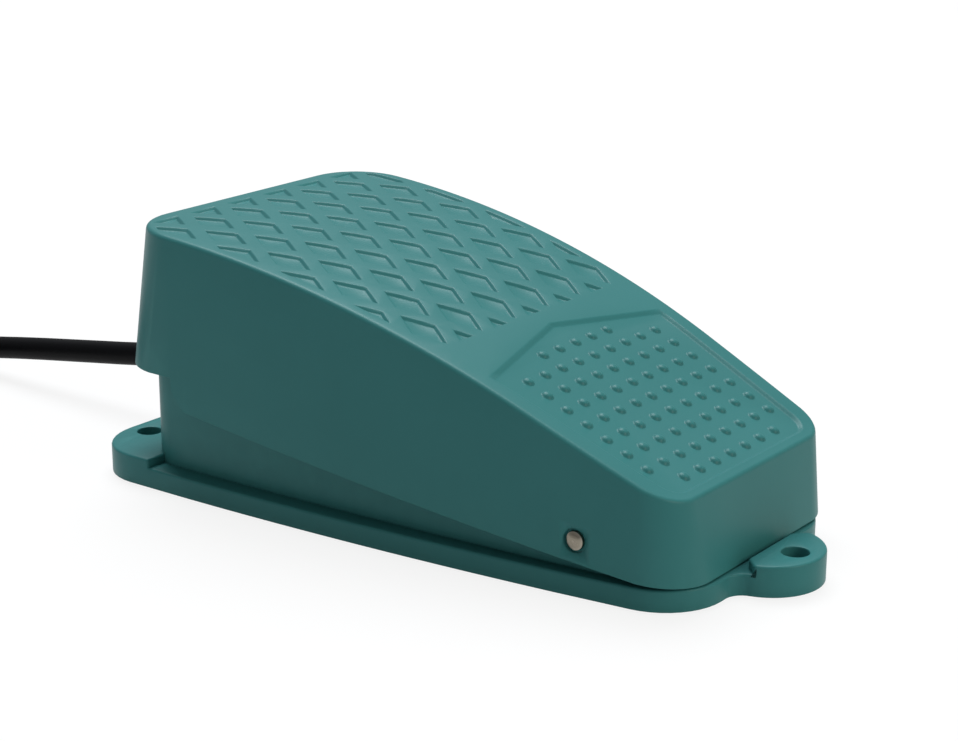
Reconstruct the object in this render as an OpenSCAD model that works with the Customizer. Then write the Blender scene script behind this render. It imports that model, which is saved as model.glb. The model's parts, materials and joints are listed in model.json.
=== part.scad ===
// Foot switch: a wedge-shaped treadle hinged on a steel pin over a moulded base.
// The base holds a snap-action switch, two return springs, rubber stops and the
// cable entry. All sizes are in millimetres. +X runs towards the low, hinged end,
// +Z is up, and the origin is on the floor under the middle of the base.

/* [Base] */
// Overall length of the base over its mounting ears
base_len = 204; // [200:0.5:208]
// Distance of the flange's widest place inside the treadle's widest place
flange_side_inset = 1; // [0.5:0.1:2]
// Radius to which the long sides of the flange are bowed
flange_bow_r = 1200; // [1100:10:1300]
// Thickness of the side flange
flange_t = 5.6; // [5:0.1:6.2]
// Thickness of the mounting ears
ear_t = 8; // [7:0.1:9]
// Distance from the tip of the low-end ear to the end of the flange
ear_reach = 14.8; // [14.4:0.1:15.6]
// Corner radius at the low end of the flange
flange_front_r = 17; // [14:0.5:19]
// Corner radius at the high end of the flange
flange_rear_r = 17; // [14:0.5:19]
// Radius of the round ear at the low end
ear_r = 14.6; // [13.4:0.2:15.4]
// Radius of the hollow fillet on each side of that ear
ear_fillet_r = 5; // [3:0.5:8]
// Diameter of the mounting holes
mount_hole_d = 7; // [5:0.5:8]
// Distance of the low-end hole from the tip of its ear
front_hole_inset = 6.8; // [5.5:0.1:8]
// Distance of the two high-end holes from the edge
rear_hole_inset = 6.8; // [5.5:0.1:8]
// Distance between the two high-end holes
rear_hole_pitch = 58.6; // [50:0.2:66]
// Length of the thick ledge that carries the high-end holes
ledge_len = 24; // [21:0.5:25]
// Thickness of the base floor
floor_t = 3; // [2.4:0.1:3.6]
// Distance of the upstanding wall from the treadle's long sides
wall_side_inset = 6.8; // [6.2:0.1:7.6]
// Radius to which the long sides of that wall are bowed
upstand_bow_r = 1590; // [1500:10:1700]
// Thickness of the upstanding wall
upstand_t = 2.4; // [1.8:0.1:3]
// Corner radius of the upstanding wall
upstand_r = 9; // [8:0.5:10]
// How far the upstanding wall reaches above the treadle's lower edge
upstand_lap = 7; // [4:0.5:8]
// Distance of the upstanding wall from the treadle's high end
wall_inset = 0.3; // [0.2:0.1:0.8]
// Distance of the upstanding wall from the treadle's low end
wall_front_inset = 13; // [12:0.5:15]
// Height of that wall at the high end above the base's underside
wall_end_h = 27; // [26.6:0.1:28]
// Distance of the pads at the high end from the upstanding wall's end
pad_inset = 15; // [12:0.5:17]
// Distance of those pads from the centre line
pad_y = 27; // [24:0.5:30]
// Distance of the other pads from the treadle's low end
pad_front_inset = 23; // [21:0.5:26]
// Distance of the other pads from the centre line
pad_front_y = 22; // [20:0.5:24]
// Diameter of the rubber pads under the base
pad_d = 14; // [10:0.5:16]
// Full thickness of a rubber pad
pad_t = 2; // [1.6:0.1:2.4]
// How far the pads stand out under the base
pad_proud = 0.8; // [0.5:0.1:1]

/* [Treadle] */
// Height of the crest of the treadle above the base's underside
pedal_h = 73.2; // [71:0.2:76]
// Greatest width of the treadle at its top
pedal_w = 96.8; // [96:0.2:99]
// Radius to which its long sides are bowed
pedal_bow_r = 1055; // [1000:5:1120]
// Length of the straight slope at the low end
slope_run = 38.46; // [37.5:0.02:40]
// Height of the top at the low end above the base's underside
low_end_h = 27.16; // [26.4:0.02:28]
// Distance from the tip of the low-end ear to the treadle's low end
pedal_front_inset = 18.8; // [18.4:0.1:20]
// Distance from the base's high end to the treadle's high end
pedal_rear_inset = 18.2; // [17.8:0.1:18.8]
// Wall thickness of the skirt
skirt_t = 2.4; // [2:0.1:2.6]
// Thickness of the top
pedal_t = 3.2; // [2.8:0.1:4]
// Corner radius at the low end
pedal_front_r = 11; // [9:0.5:13]
// Corner radius at the high end
pedal_rear_r = 17; // [15:0.5:19]
// Draft of the long sides in degrees
side_draft = 1.5; // [0.8:0.1:2]
// Lean of the low end wall in degrees
front_draft = 8.2; // [7:0.1:9]
// Taper of the corners at the low end in degrees
front_corner_taper = 9.7; // [8:0.1:11]
// Lean of the high end wall in degrees
rear_draft = 8; // [7:0.5:9]
// Gap between the skirt and the flange at the low end
skirt_gap = 0.3; // [0.3:0.1:0.8]
// Rise of the skirt's lower edge in degrees
skirt_rise = 7.6; // [7:0.1:8]
// Height of the lower edge of the high end wall above the base's underside
rear_edge_h = 34; // [33:0.2:37]
// Length of the raised part of the skirt at the high end
rear_notch_len = 17.8; // [16:0.2:20]
// Full travel of the treadle in degrees
pedal_travel = 3; // [2:0.1:3.2]

/* [Tread] */
// Depth of the diamond pockets and of the studded panel
tread_depth = 0.8; // [0.4:0.1:1.2]
// Pitch of the diamonds along the treadle
diamond_pitch_x = 21.94; // [20:0.1:24]
// Pitch of the diamonds across the treadle
diamond_pitch_y = 14.44; // [13:0.1:16]
// Length of one diamond pocket
diamond_len = 15.8; // [13:0.1:17]
// Width of one diamond pocket
diamond_w = 9.9; // [8:0.1:11]
// Plain margin along the sides of the tread
tread_margin = 3.4; // [3:0.1:5]
// Plain margin at the high end of the tread
tread_rear_margin = 4.6; // [4:0.1:6]
// Distance from the treadle's low end to the end of the diamonds
diamond_end = 66.2; // [65:0.2:68]
// Distance from the treadle's low end to the middle row of diamonds
diamond_start = 115.1; // [113:0.1:117]
// Distance from the treadle's low end to the point of the panel
panel_reach = 61.7; // [60:0.1:63]
// Length of the panel's point
panel_point = 9; // [7:0.5:11]
// Distance from the treadle's low end to the panel
panel_inset = 2.4; // [2:0.1:3]
// Margin along the sides of the panel
panel_margin = 4.4; // [4:0.1:5]
// Corner radius of the panel
panel_r = 6; // [4:0.5:7]
// Distance from the treadle's low end to the first row of studs
dot_inset = 7.2; // [6.8:0.1:8]
// Pitch of the studs across the treadle
dot_pitch_y = 7.2; // [6.6:0.1:7.4]
// Pitch of the studs along the treadle
dot_pitch_x = 5.78; // [5.4:0.1:6]
// Diameter of a stud
dot_d = 3; // [2:0.1:3.6]
// Height of a stud
dot_h = 0.8; // [0.5:0.1:1]

/* [Hinge] */
// Diameter of the hinge pin
pin_d = 4.7; // [4:0.1:5.5]
// Distance of the pin from the treadle's low end
pin_inset = 25; // [23:0.5:27]
// Height of the pin above the base's underside
pin_h = 15; // [14:0.2:16]
// Radial clearance of the pin in its bores
pin_play = 0.05; // [0.02:0.01:0.1]
// Depth of the recess round each end of the pin
pin_recess = 0.8; // [0.4:0.1:1.2]
// Outer diameter of the pin bosses
pin_boss_d = 11; // [9:0.5:12]
// Thickness of a pin boss on the base
pin_boss_t = 7; // [5:0.5:9]
// Thickness of a retaining clip
clip_t = 0.8; // [0.6:0.1:1.2]
// Outer diameter of a retaining clip
clip_d = 10; // [8:0.5:11]

/* [Springs and stops] */
// Outer diameter of a return spring
spring_d = 14; // [12:0.5:16]
// Wire diameter of a return spring
spring_wire = 1.8; // [1.4:0.1:2]
// Fitted length of a return spring
spring_len = 32; // [28:0.5:34]
// Number of coils in a return spring
spring_turns = 7; // [6:1:9]
// Height of the spring seats above the base's underside
spring_seat_h = 12; // [10:0.5:14]
// Distance of the springs' middle from the inside of the upstanding wall
spring_side = 13.2; // [12:0.2:15]
// Distance of the springs' middle from the end of the switch case
spring_past = 12; // [10:0.5:16]
// Diameter of a rubber stop
stop_d = 12; // [10:0.5:13]
// Height of a rubber stop
stop_h = 7; // [5:0.5:8]
// Height of the stops' posts above the base's underside
stop_post_h = 22; // [20:0.5:24]
// Distance of the stops' middle from the inside of the upstanding wall
stop_side = 13.2; // [11:0.2:15]
// Distance of the stops from the treadle's high end
stop_inset = 17; // [16.5:0.5:18.5]

/* [Switch] */
// Length of the switch case
case_len = 49.2; // [47:0.1:51]
// Height of the switch case
case_h = 24.2; // [23:0.1:25]
// Width of the switch case with its cover
case_w = 17.4; // [16:0.1:18]
// Wall thickness of the switch case
case_t = 2; // [1.6:0.1:2.2]
// Thickness of the switch cover
case_lid_t = 3; // [2:0.1:4]
// Height of the underside of the switch case above the base's underside
case_seat_h = 24; // [23.6:0.1:24.6]
// Distance of the switch case from the treadle's high end
case_inset = 19.4; // [19:0.1:20.4]
// Pitch of the two switch bolts
bolt_pitch = 25.4; // [24:0.1:26]
// Diameter of the switch bolts
bolt_d = 4; // [3.5:0.1:4.2]
// Height of the switch bolts above the case's underside
bolt_up = 5; // [4.6:0.1:5.4]
// Length of the lever from its pivot to the push screw
lever_reach = 40; // [38:0.5:41]
// Width of the lever
lever_w = 8; // [6:0.5:9]
// Thickness of the lever
lever_t = 1; // [0.8:0.1:1.2]
// Angle of the lever at the end of the treadle's travel, in degrees
lever_low = 2; // [1.8:0.1:2.4]
// Height of the lever's pivot above the case
lever_up = 2.4; // [2.2:0.1:2.8]
// Distance of the plunger from the lever's pivot
plunger_reach = 9; // [8.6:0.1:9.4]
// Diameter of the plunger
plunger_d = 4; // [3:0.1:4.4]
// Thickness of the bracket's sheet
bracket_t = 2; // [1.5:0.1:2.2]
// Diameter of the push screw
pusher_d = 6; // [5:0.5:7]

/* [Cable] */
// Diameter of the cable
cable_d = 7; // [6:0.1:7]
// Height of the cable's exit above the base's underside
cable_h = 18.8; // [18.4:0.1:19.2]
// Length of the taper of the strain relief
relief_len = 30; // [29:0.5:31]
// Diameter of the taper at the wall
relief_d = 12; // [11:0.1:12.6]
// Diameter of the taper at its tip
relief_tip_d = 8.8; // [8.2:0.1:10]
// Diameter of one core of the cable
core_d = 2.2; // [1.8:0.1:2.3]

/* [Hidden] */

green = [0.13, 0.42, 0.40];
steel = [0.72, 0.72, 0.72];
rubber = [0.08, 0.08, 0.08];
black = [0.10, 0.10, 0.11];
brass = [0.80, 0.62, 0.30];

// Values used throughout: an overrun for cuts, and gaps between pieces
over = 1;
gap = 0.3;
fit = 0.05;
fine = 48;
coarse = 32;

// Places along the object
base_z = pad_proud;
half_len = base_len / 2;
floor_z = base_z + floor_t;
flange_top = base_z + flange_t;
ear_top = base_z + ear_t;
pedal_front = half_len - pedal_front_inset;
pedal_rear = -half_len + pedal_rear_inset;
// Share of the treadle's length, from its high end, at which the plan is widest
widest_share = 0.045;
widest_x = pedal_rear + (pedal_front - pedal_rear) * widest_share;
flange_w = pedal_w - 2 * flange_side_inset;
upstand_w = pedal_w - 2 * wall_side_inset;
pin_x = pedal_front - pin_inset;
pin_z = base_z + pin_h;
far = base_len;

// Plan outlines: bowed long sides, straight ends and round corners
corner_steps = 6;
side_steps = 10;
function arc_pts(cx, cy, r, a0, a1, n) =
    [for (k = [0:n]) [cx + r * cos(a0 + (a1 - a0) * k / n), cy + r * sin(a0 + (a1 - a0) * k / n)]];
function bow_y(x, w, r) = w / 2 - r + sqrt(r * r - pow(x - widest_x, 2));
function half_ring(x0, x1, w, bow, r0, r1) =
    let (yc = w / 2 - bow, xa = x1 - r1, xb = x0 + r0,
        ya = yc + sqrt(pow(bow - r1, 2) - pow(xa - widest_x, 2)),
        yb = yc + sqrt(pow(bow - r0, 2) - pow(xb - widest_x, 2)),
        a = atan2(ya - yc, xa - widest_x), b = atan2(yb - yc, xb - widest_x))
    concat(arc_pts(xa, ya, r1, 0, a, corner_steps),
        [for (k = [1:side_steps - 1]) let (t = a + (b - a) * k / side_steps)
            [widest_x + bow * cos(t), yc + bow * sin(t)]],
        arc_pts(xb, yb, r0, b, 180, corner_steps));
function ring(x0, x1, w, bow, r0, r1) =
    let (h = half_ring(x0, x1, w, bow, r0, r1), n = len(h))
    concat(h, [for (k = [0:n - 1]) [h[n - 1 - k][0], -h[n - 1 - k][1]]]);

// A solid between two outlines with as many points, at two heights
module skin(low, high, z0, z1) {
    n = len(low);
    pts = concat([for (p = low) [p[0], p[1], z0]], [for (p = high) [p[0], p[1], z1]]);
    sides = [for (k = [0:n - 1]) let (m = (k + 1) % n) each [[k, n + m, m], [k, n + k, n + m]]];
    polyhedron(points = pts, convexity = 4,
        faces = concat([[for (k = [0:n - 1]) k]], [[for (k = [0:n - 1]) 2 * n - 1 - k]], sides));
}

// A side view pushed through the whole width
module across(w) {
    rotate([90, 0, 0]) linear_extrude(height = w, center = true, convexity = 4) children();
}

// The treadle's side view: a straight slope that runs into a crest of one radius
crest_lead = 9.46;
crest_x = pedal_rear - crest_lead;
crest_z = base_z + pedal_h;
crest_steps = 14;
// The arc and the straight share a tangent: t is the tangent of half the slope
slope_x = pedal_front - slope_run;
function slope_fall(t) = (slope_x - crest_x) * t + 2 * slope_run * t / (1 - t * t);
function fall_rate(t) = slope_x - crest_x + 2 * slope_run * (1 + t * t) / pow(1 - t * t, 2);
function half_slope(t, n) = n <= 0 ? t
    : half_slope(t - (slope_fall(t) - pedal_h + low_end_h) / fall_rate(t), n - 1);
slope_rounds = 8;
pedal_slope = 2 * atan(half_slope((pedal_h - low_end_h) / (pedal_front - crest_x + slope_run), slope_rounds));
crest_r = (slope_x - crest_x) / sin(pedal_slope);
function top_z(x, t) = x < slope_x - t * sin(pedal_slope)
    ? crest_z - crest_r + sqrt(pow(crest_r - t, 2) - pow(x - crest_x, 2))
    : crest_z - crest_r + (crest_r - t) / cos(pedal_slope) - (x - crest_x) * tan(pedal_slope);
function under_top(t) =
    let (r = crest_r - t, zc = crest_z - crest_r)
    concat([[crest_x, 0]],
        [for (k = [0:crest_steps]) let (a = pedal_slope * k / crest_steps)
            [crest_x + r * sin(a), zc + r * cos(a)]],
        [[crest_x + (zc + r / cos(pedal_slope)) / tan(pedal_slope), 0]]);
low_top = top_z(pedal_front, 0);

// The treadle's outline at a height, drawn in by a wall
function pedal_ring(z, t) = ring(
    pedal_rear - (crest_z - z) * tan(rear_draft) + t,
    pedal_front + (low_top - z) * tan(front_draft) - t,
    pedal_w + 2 * (crest_z - z) * tan(side_draft) - 2 * t,
    pedal_bow_r - t, pedal_rear_r - t, pedal_front_r + (low_top - z) * tan(front_corner_taper) - t);
function pedal_half(x, z) = bow_y(x, pedal_w + 2 * (crest_z - z) * tan(side_draft), pedal_bow_r);

// The lower edge of the skirt
skirt_foot_x = pedal_front + (low_top - flange_top) * tan(front_draft);
function skirt_z(x) = flange_top + skirt_gap + (skirt_foot_x - x) * tan(skirt_rise);
rear_edge_z = base_z + rear_edge_h;
notch_x = pedal_rear + rear_notch_len;
notch_bevel = rear_notch_len / 4;

// Treadle: the shell, its posts and bosses, its bores and its tread
stop_x = pedal_rear + stop_inset;
stop_y = upstand_w / 2 - upstand_t - stop_side;
spring_y = upstand_w / 2 - upstand_t - spring_side;
stop_top = base_z + stop_post_h + stop_h;
stop_post_less = 2;
stop_post_d = stop_d - stop_post_less;
stop_face_z = stop_top + (pin_x - stop_x + stop_post_d / 2) * sin(pedal_travel) + gap;
spring_low = base_z + spring_seat_h;
spring_high = spring_low + spring_len;
spring_cup_t = 1.5;
spring_cup_d = spring_d + 2 * spring_cup_t;
spigot_play = 0.5;
spigot_d = spring_d - 2 * spring_wire - 2 * spigot_play;
spigot_h = 5;
pusher_boss_t = 3;
pusher_boss_d = pusher_d + 2 * pusher_boss_t;
case_x = pedal_rear + case_inset;
spring_x = case_x + case_len + spring_past;
lever_inset = 3.6;
lever_x = case_x + case_len - lever_inset;
push_x = lever_x - lever_reach;
case_z = base_z + case_seat_h;
case_top = case_z + case_h;
lever_z = case_top + lever_up;
lever_high = atan(tan(lever_low) + (pin_x - push_x) * sin(pedal_travel) / lever_reach);
push_tip_z = lever_z + lever_reach * tan(lever_high) + lever_t / 2 / cos(lever_high) + gap;
nut_h = 2.6;
nut_af = 9;
push_boss_z = push_tip_z + pusher_d / 2 + nut_h + 2 * gap;
upstand_rear = pedal_rear + wall_inset;
upstand_front = pedal_front - wall_front_inset;
pin_face = bow_y(pin_x - pin_boss_d / 2, upstand_w, upstand_bow_r);
pin_out = pedal_half(pin_x, pin_z);

module pedal_shell() {
    difference() {
        intersection() {
            skin(pedal_ring(0, 0), pedal_ring(crest_z, 0), 0, crest_z);
            across(pedal_w * 2) difference() {
                polygon(under_top(0));
                polygon([[-far, -far], [far, -far], [far, skirt_z(far)],
                    [notch_x + notch_bevel, skirt_z(notch_x + notch_bevel)],
                    [notch_x, skirt_z(notch_x) + notch_bevel],
                    [notch_x, rear_edge_z], [-far, rear_edge_z]]);
            }
        }
        intersection() {
            skin(pedal_ring(0, skirt_t), pedal_ring(crest_z, skirt_t), 0, crest_z);
            across(pedal_w * 2) polygon(under_top(pedal_t));
        }
    }
}

module pedal_posts() {
    intersection() {
        union() {
            for (s = [-1, 1]) {
                translate([stop_x, s * stop_y, stop_face_z])
                    cylinder(d = stop_post_d, h = far, $fn = coarse);
                translate([spring_x, s * spring_y, spring_high])
                    cylinder(d = spring_cup_d, h = far, $fn = coarse);
                translate([spring_x, s * spring_y, spring_high - spigot_h])
                    cylinder(d = spigot_d, h = far, $fn = coarse);
            }
            translate([push_x, 0, push_boss_z]) cylinder(d = pusher_boss_d, h = far, $fn = coarse);
        }
        across(pedal_w) polygon(under_top(pedal_t / 2));
    }
}

module pin_line(d, y0, y1, sides = fine) {
    translate([pin_x, y0, pin_z]) rotate([-90, 0, 0]) cylinder(d = d, h = y1 - y0, $fn = sides);
}

// Diamond pockets, cut to the tread's outline, and the five-sided studded panel
tread_rear = pedal_rear + tread_rear_margin;
tread_front = pedal_front - diamond_end;
diamond_x0 = pedal_front - diamond_start;
panel_apex_x = pedal_front - panel_reach;
panel_shoulder_x = panel_apex_x + panel_point;
panel_front_x = pedal_front - panel_inset;
panel_turn = 86;
dots_x = pedal_front - dot_inset;
diamond_rows = [-5:4];
dot_counts = [7, 9, 9, 9, 9, 9, 9, 9, 5];

module tread_outline() {
    intersection() {
        polygon(ring(tread_rear, pedal_front, pedal_w - 2 * tread_margin,
            pedal_bow_r, pedal_rear_r / 2, pedal_front_r));
        translate([-far, -far / 2]) square([far + tread_front, far]);
    }
}

module diamonds() {
    cols = ceil(pedal_w / diamond_pitch_y);
    intersection() {
        tread_outline();
        for (i = diamond_rows, j = [-cols:cols]) if ((i + j) % 2 == 0)
            translate([diamond_x0 + i * diamond_pitch_x / 2, j * diamond_pitch_y / 2])
                polygon([[0, 0], [diamond_len / 2, diamond_w / 2], [diamond_len, 0],
                    [diamond_len / 2, -diamond_w / 2]]);
    }
}

module panel() {
    half = pedal_half(panel_shoulder_x, crest_z) - panel_margin;
    y_front = pedal_half(panel_front_x - panel_r, crest_z) - panel_margin;
    polygon(concat([[panel_apex_x, 0], [panel_shoulder_x, -half]],
        arc_pts(panel_front_x - panel_r, -y_front + panel_r, panel_r, -panel_turn, 0, corner_steps),
        arc_pts(panel_front_x - panel_r, y_front - panel_r, panel_r, 0, panel_turn, corner_steps),
        [[panel_shoulder_x, half]]));
}

module tread_cut() {
    intersection() {
        linear_extrude(height = far, convexity = 10) {
            diamonds();
            panel();
        }
        across(pedal_w) difference() {
            translate([-half_len, 0]) square([base_len, crest_z + over]);
            polygon(under_top(tread_depth));
        }
    }
}

module studs() {
    for (k = [0:len(dot_counts) - 1], j = [0:dot_counts[k] - 1]) {
        x = dots_x - k * dot_pitch_x;
        translate([x, (j - (dot_counts[k] - 1) / 2) * dot_pitch_y, top_z(x, tread_depth + fit)])
            rotate([0, min(pedal_slope, asin((x - crest_x) / crest_r)), 0])
                cylinder(d1 = dot_d, d2 = dot_d / 2, h = dot_h + fit, $fn = 8);
    }
}

module pedal_cover() {
    boss_end = pin_out - skirt_t / 2;
    color(green) difference() {
        union() {
            difference() {
                pedal_shell();
                difference() {
                    tread_cut();
                    studs();
                }
            }
            pedal_posts();
            for (s = [-1, 1]) pin_line(pin_boss_d, s > 0 ? pin_face + gap : -boss_end,
                s > 0 ? boss_end : -pin_face - gap, coarse);
        }
        pin_line(pin_d + 2 * pin_play, -pin_out - over, -pin_face, coarse);
        pin_line(pin_d + 2 * pin_play, pin_face, pin_out + over, coarse);
        pin_line(pin_d + 2 * pin_recess, -pin_out - over, -pin_out + pin_recess, coarse);
        pin_line(pin_d + 2 * pin_recess, pin_out - pin_recess, pin_out + over, coarse);
        translate([push_x, 0, push_boss_z - over])
            cylinder(d = pusher_d + 2 * fit, h = push_thread_len + over, $fn = coarse);
    }
}

// Base: flange, ears, floor, upstanding wall, bosses and posts
flange_front = half_len - ear_reach;
ear_x = half_len - ear_r;
ear_sides = 96;
ear_step = 1;
step_share = 0.72;
step_x = flange_front + ear_step;
step_y = ear_r * step_share;
step_run = ear_r - step_y;
fillet_x = flange_front + ear_fillet_r;
fillet_y = sqrt(pow(ear_r + ear_fillet_r, 2) - pow(fillet_x - ear_x, 2));
front_hole_x = half_len - front_hole_inset;
rear_hole_x = -half_len + rear_hole_inset;
hole_places = [[front_hole_x, 0], [rear_hole_x, rear_hole_pitch / 2],
    [rear_hole_x, -rear_hole_pitch / 2]];
pad_front_x = pedal_front - pad_front_inset;
pad_places = [for (p = [[upstand_rear + pad_inset, pad_y], [pad_front_x, pad_front_y]], s = [-1, 1])
    [p[0], s * p[1]]];
pad_recess = pad_t - pad_proud;
relief_hole_d = 11;
cable_z = base_z + cable_h;
clamp_gap = 1.9;
clamp_x = upstand_rear + upstand_t + clamp_gap;
clamp_len = 7;
clamp_w = 26;
clamp_screw_y = 8.6;
clamp_h = 6;
screw_d = 3.2;
screw_head_d = 6;
screw_head_h = 2;
bracket_inset = 4;
bracket_x = case_x + bracket_inset;
bracket_y = case_w / 2;
foot_len = 27;
foot_w = 19;
foot_boss_h = 4;
foot_boss_d = 9;
foot_z = floor_z + foot_boss_h;
foot_screw_inset = 5;
foot_screw_reach = 13;
foot_places = [for (k = [0, 1])
    [bracket_x + foot_screw_inset + k * (foot_len - 2 * foot_screw_inset), bracket_y + foot_screw_reach]];

module flange_plan() {
    polygon(ring(-half_len, flange_front, flange_w, flange_bow_r, flange_rear_r, flange_front_r));
    translate([ear_x, 0]) circle(r = ear_r, $fn = ear_sides);
    for (s = [-1, 1]) difference() {
        polygon([[ear_x, 0], [flange_front - over, s * fillet_y], [fillet_x, s * fillet_y]]);
        translate([fillet_x, s * fillet_y]) circle(r = ear_fillet_r, $fn = fine);
    }
}

// The wall's top edge runs with the skirt, and drops to the cable entry at the high end
wall_end_z = base_z + wall_end_h;
wall_end_slope = 50;
function wall_z(x) = skirt_z(x) + upstand_lap;
wall_end_run = (wall_z(upstand_rear) - wall_end_z) / (tan(wall_end_slope) + tan(skirt_rise));

module upstand_plan(t) {
    polygon(ring(upstand_rear + t, upstand_front - t, upstand_w - 2 * t,
        upstand_bow_r - t, upstand_r - t, upstand_r - t));
}

module base_block() {
    translate([0, 0, base_z]) linear_extrude(height = flange_t) flange_plan();
    translate([0, 0, base_z]) linear_extrude(height = ear_t) intersection() {
        flange_plan();
        translate([-far, -far / 2]) square([far - half_len + ledge_len, far]);
    }
    translate([0, 0, base_z]) linear_extrude(height = ear_t) intersection() {
        translate([ear_x, 0]) circle(r = ear_r, $fn = ear_sides);
        polygon([[step_x, -step_y], [step_x + step_run, -ear_r], [step_x + far, -ear_r],
            [step_x + far, ear_r], [step_x + step_run, ear_r], [step_x, step_y]]);
    }
    intersection() {
        translate([0, 0, base_z]) linear_extrude(height = crest_z) upstand_plan(0);
        across(far) polygon([[-far, 0], [far, 0], [far, wall_z(far)],
            [upstand_rear + wall_end_run, wall_z(upstand_rear + wall_end_run)],
            [upstand_rear, wall_end_z], [-far, wall_end_z]]);
    }
}

module base_bosses() {
    for (s = [-1, 1]) {
        pin_line(pin_boss_d, s > 0 ? pin_face - pin_boss_t : -pin_face,
            s > 0 ? pin_face : -pin_face + pin_boss_t);
        translate([pin_x - pin_boss_d / 2, s > 0 ? pin_face - pin_boss_t : -pin_face, floor_z - over])
            cube([pin_boss_d, pin_boss_t, pin_z - floor_z + over]);
        translate([stop_x, s * stop_y, floor_z - over])
            cylinder(d = stop_d, h = base_z + stop_post_h - floor_z + over, $fn = fine);
        translate([spring_x, s * spring_y, floor_z - over])
            cylinder(d = spring_cup_d, h = spring_low - floor_z + over, $fn = fine);
        translate([spring_x, s * spring_y, floor_z])
            cylinder(d = spigot_d, h = spring_low - floor_z + spigot_h, $fn = fine);
    }
    translate([clamp_x, -clamp_w / 2, floor_z - over])
        cube([clamp_len, clamp_w, cable_z - gap / 2 - floor_z + over]);
    for (p = foot_places) translate([p[0], p[1], floor_z - over])
        cylinder(d = foot_boss_d, h = foot_boss_h + over, $fn = fine);
}

module base_tray() {
    color(green) difference() {
        union() {
            difference() {
                base_block();
                translate([0, 0, floor_z]) linear_extrude(height = far) upstand_plan(upstand_t);
            }
            base_bosses();
        }
        for (p = hole_places) translate([p[0], p[1], base_z - over])
            cylinder(d = mount_hole_d, h = ear_t + 2 * over, $fn = fine);
        for (p = pad_places) translate([p[0], p[1], base_z - over])
            cylinder(d = pad_d + 4 * fit, h = pad_recess + over, $fn = fine);
        pin_line(pin_d + 2 * pin_play, -pin_face - over, pin_face + over);
        translate([upstand_rear - over, 0, cable_z]) rotate([0, 90, 0])
            cylinder(d = relief_hole_d + 2 * fit, h = upstand_t + 2 * over, $fn = fine);
        translate([clamp_x - over, 0, cable_z]) rotate([0, 90, 0])
            cylinder(d = cable_d + 2 * fit, h = clamp_len + 2 * over, $fn = fine);
        for (s = [-1, 1]) translate([clamp_x + clamp_len / 2, s * clamp_screw_y, cable_z - clamp_screw_len])
            cylinder(d = screw_d + 2 * fit, h = clamp_screw_len, $fn = fine);
        for (s = [-1, 1]) translate([stop_x, s * stop_y, base_z + stop_post_h - stop_stem_h - gap])
            cylinder(d = stop_stem_d + 2 * fit, h = far, $fn = fine);
        for (p = foot_places) translate([p[0], p[1], foot_z - foot_screw_len - gap])
            cylinder(d = screw_d + 2 * fit, h = far, $fn = fine);
    }
}

module rubber_pads() {
    color(rubber) for (p = pad_places) translate([p[0], p[1], 0])
        cylinder(d = pad_d, h = pad_t, $fn = fine);
}

// Hinge pin with domed ends and a groove for each retaining clip
groove_cut = 0.5;
groove_d = pin_d - 2 * groove_cut;
pin_dome = 0.6;
dome_steps = 5;
clip_y = pin_face - pin_boss_t - gap - clip_t;
dome_r = (pow(pin_d / 2, 2) + pow(pin_dome, 2)) / (2 * pin_dome);

function pin_side(s) = [[groove_d / 2, s * (clip_y - fit)], [groove_d / 2, s * (clip_y + clip_t + fit)]];
function pin_dome_pts(s) = [for (k = [0:dome_steps]) let (a = asin(pin_d / 2 / dome_r) * k / dome_steps)
    [dome_r * sin(a), s * (pin_out + pin_dome - dome_r + dome_r * cos(a))]];
function turned(p) = [for (k = [1:len(p)]) p[len(p) - k]];

module hinge_pin() {
    low = pin_side(-1);
    high = pin_side(1);
    color(steel) translate([pin_x, 0, pin_z]) rotate([90, 0, 0]) rotate_extrude($fn = fine)
        polygon(concat(pin_dome_pts(-1), [[pin_d / 2, low[1][1]], low[1], low[0], [pin_d / 2, low[0][1]],
            [pin_d / 2, high[0][1]], high[0], high[1], [pin_d / 2, high[1][1]]], turned(pin_dome_pts(1))));
}

module pin_clips() {
    color(steel) for (s = [-1, 1]) difference() {
        pin_line(clip_d, s > 0 ? clip_y : -clip_y - clip_t, s > 0 ? clip_y + clip_t : -clip_y);
        pin_line(groove_d + 2 * fit, -pin_out, pin_out);
        translate([pin_x - groove_d / 2 - fit, -pin_out, pin_z - clip_d])
            cube([groove_d + 2 * fit, 2 * pin_out, clip_d]);
    }
}

// A round tube swept along points; side is a direction that the path never takes
function unit(v) = v / norm(v);
function tube_pts(p, r, sides, side) =
    let (n = len(p))
    [for (k = [0:n - 1]) let (t = unit(p[min(k + 1, n - 1)] - p[max(k - 1, 0)]),
        u = unit(cross(side, t)), v = cross(t, u))
        each [for (s = [0:sides - 1]) let (a = 360 * s / sides)
            p[k] + r * cos(a) * u + r * sin(a) * v]];
module tube(p, d, sides, side) {
    n = len(p);
    walls = [for (k = [0:n - 2], s = [0:sides - 1]) let (m = (s + 1) % sides, i = k * sides, j = i + sides)
        each [[i + s, j + m, i + m], [i + s, j + s, j + m]]];
    polyhedron(points = tube_pts(p, d / 2, sides, side), convexity = 10,
        faces = concat([[for (s = [0:sides - 1]) s]],
            [[for (s = [0:sides - 1]) n * sides - 1 - s]], walls));
}

module coil_spring(y) {
    steps = spring_turns * 10;
    r = (spring_d - spring_wire) / 2;
    rise = spring_len - spring_wire - 2 * fit;
    color(steel) translate([spring_x, y, spring_low + spring_wire / 2 + fit])
        tube([for (k = [0:steps]) let (a = 360 * spring_turns * k / steps)
            [r * cos(a), r * sin(a), rise * k / steps]], spring_wire, 6, [0, 0, 1]);
}
module return_spring_near() coil_spring(-spring_y);
module return_spring_far() coil_spring(spring_y);

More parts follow.
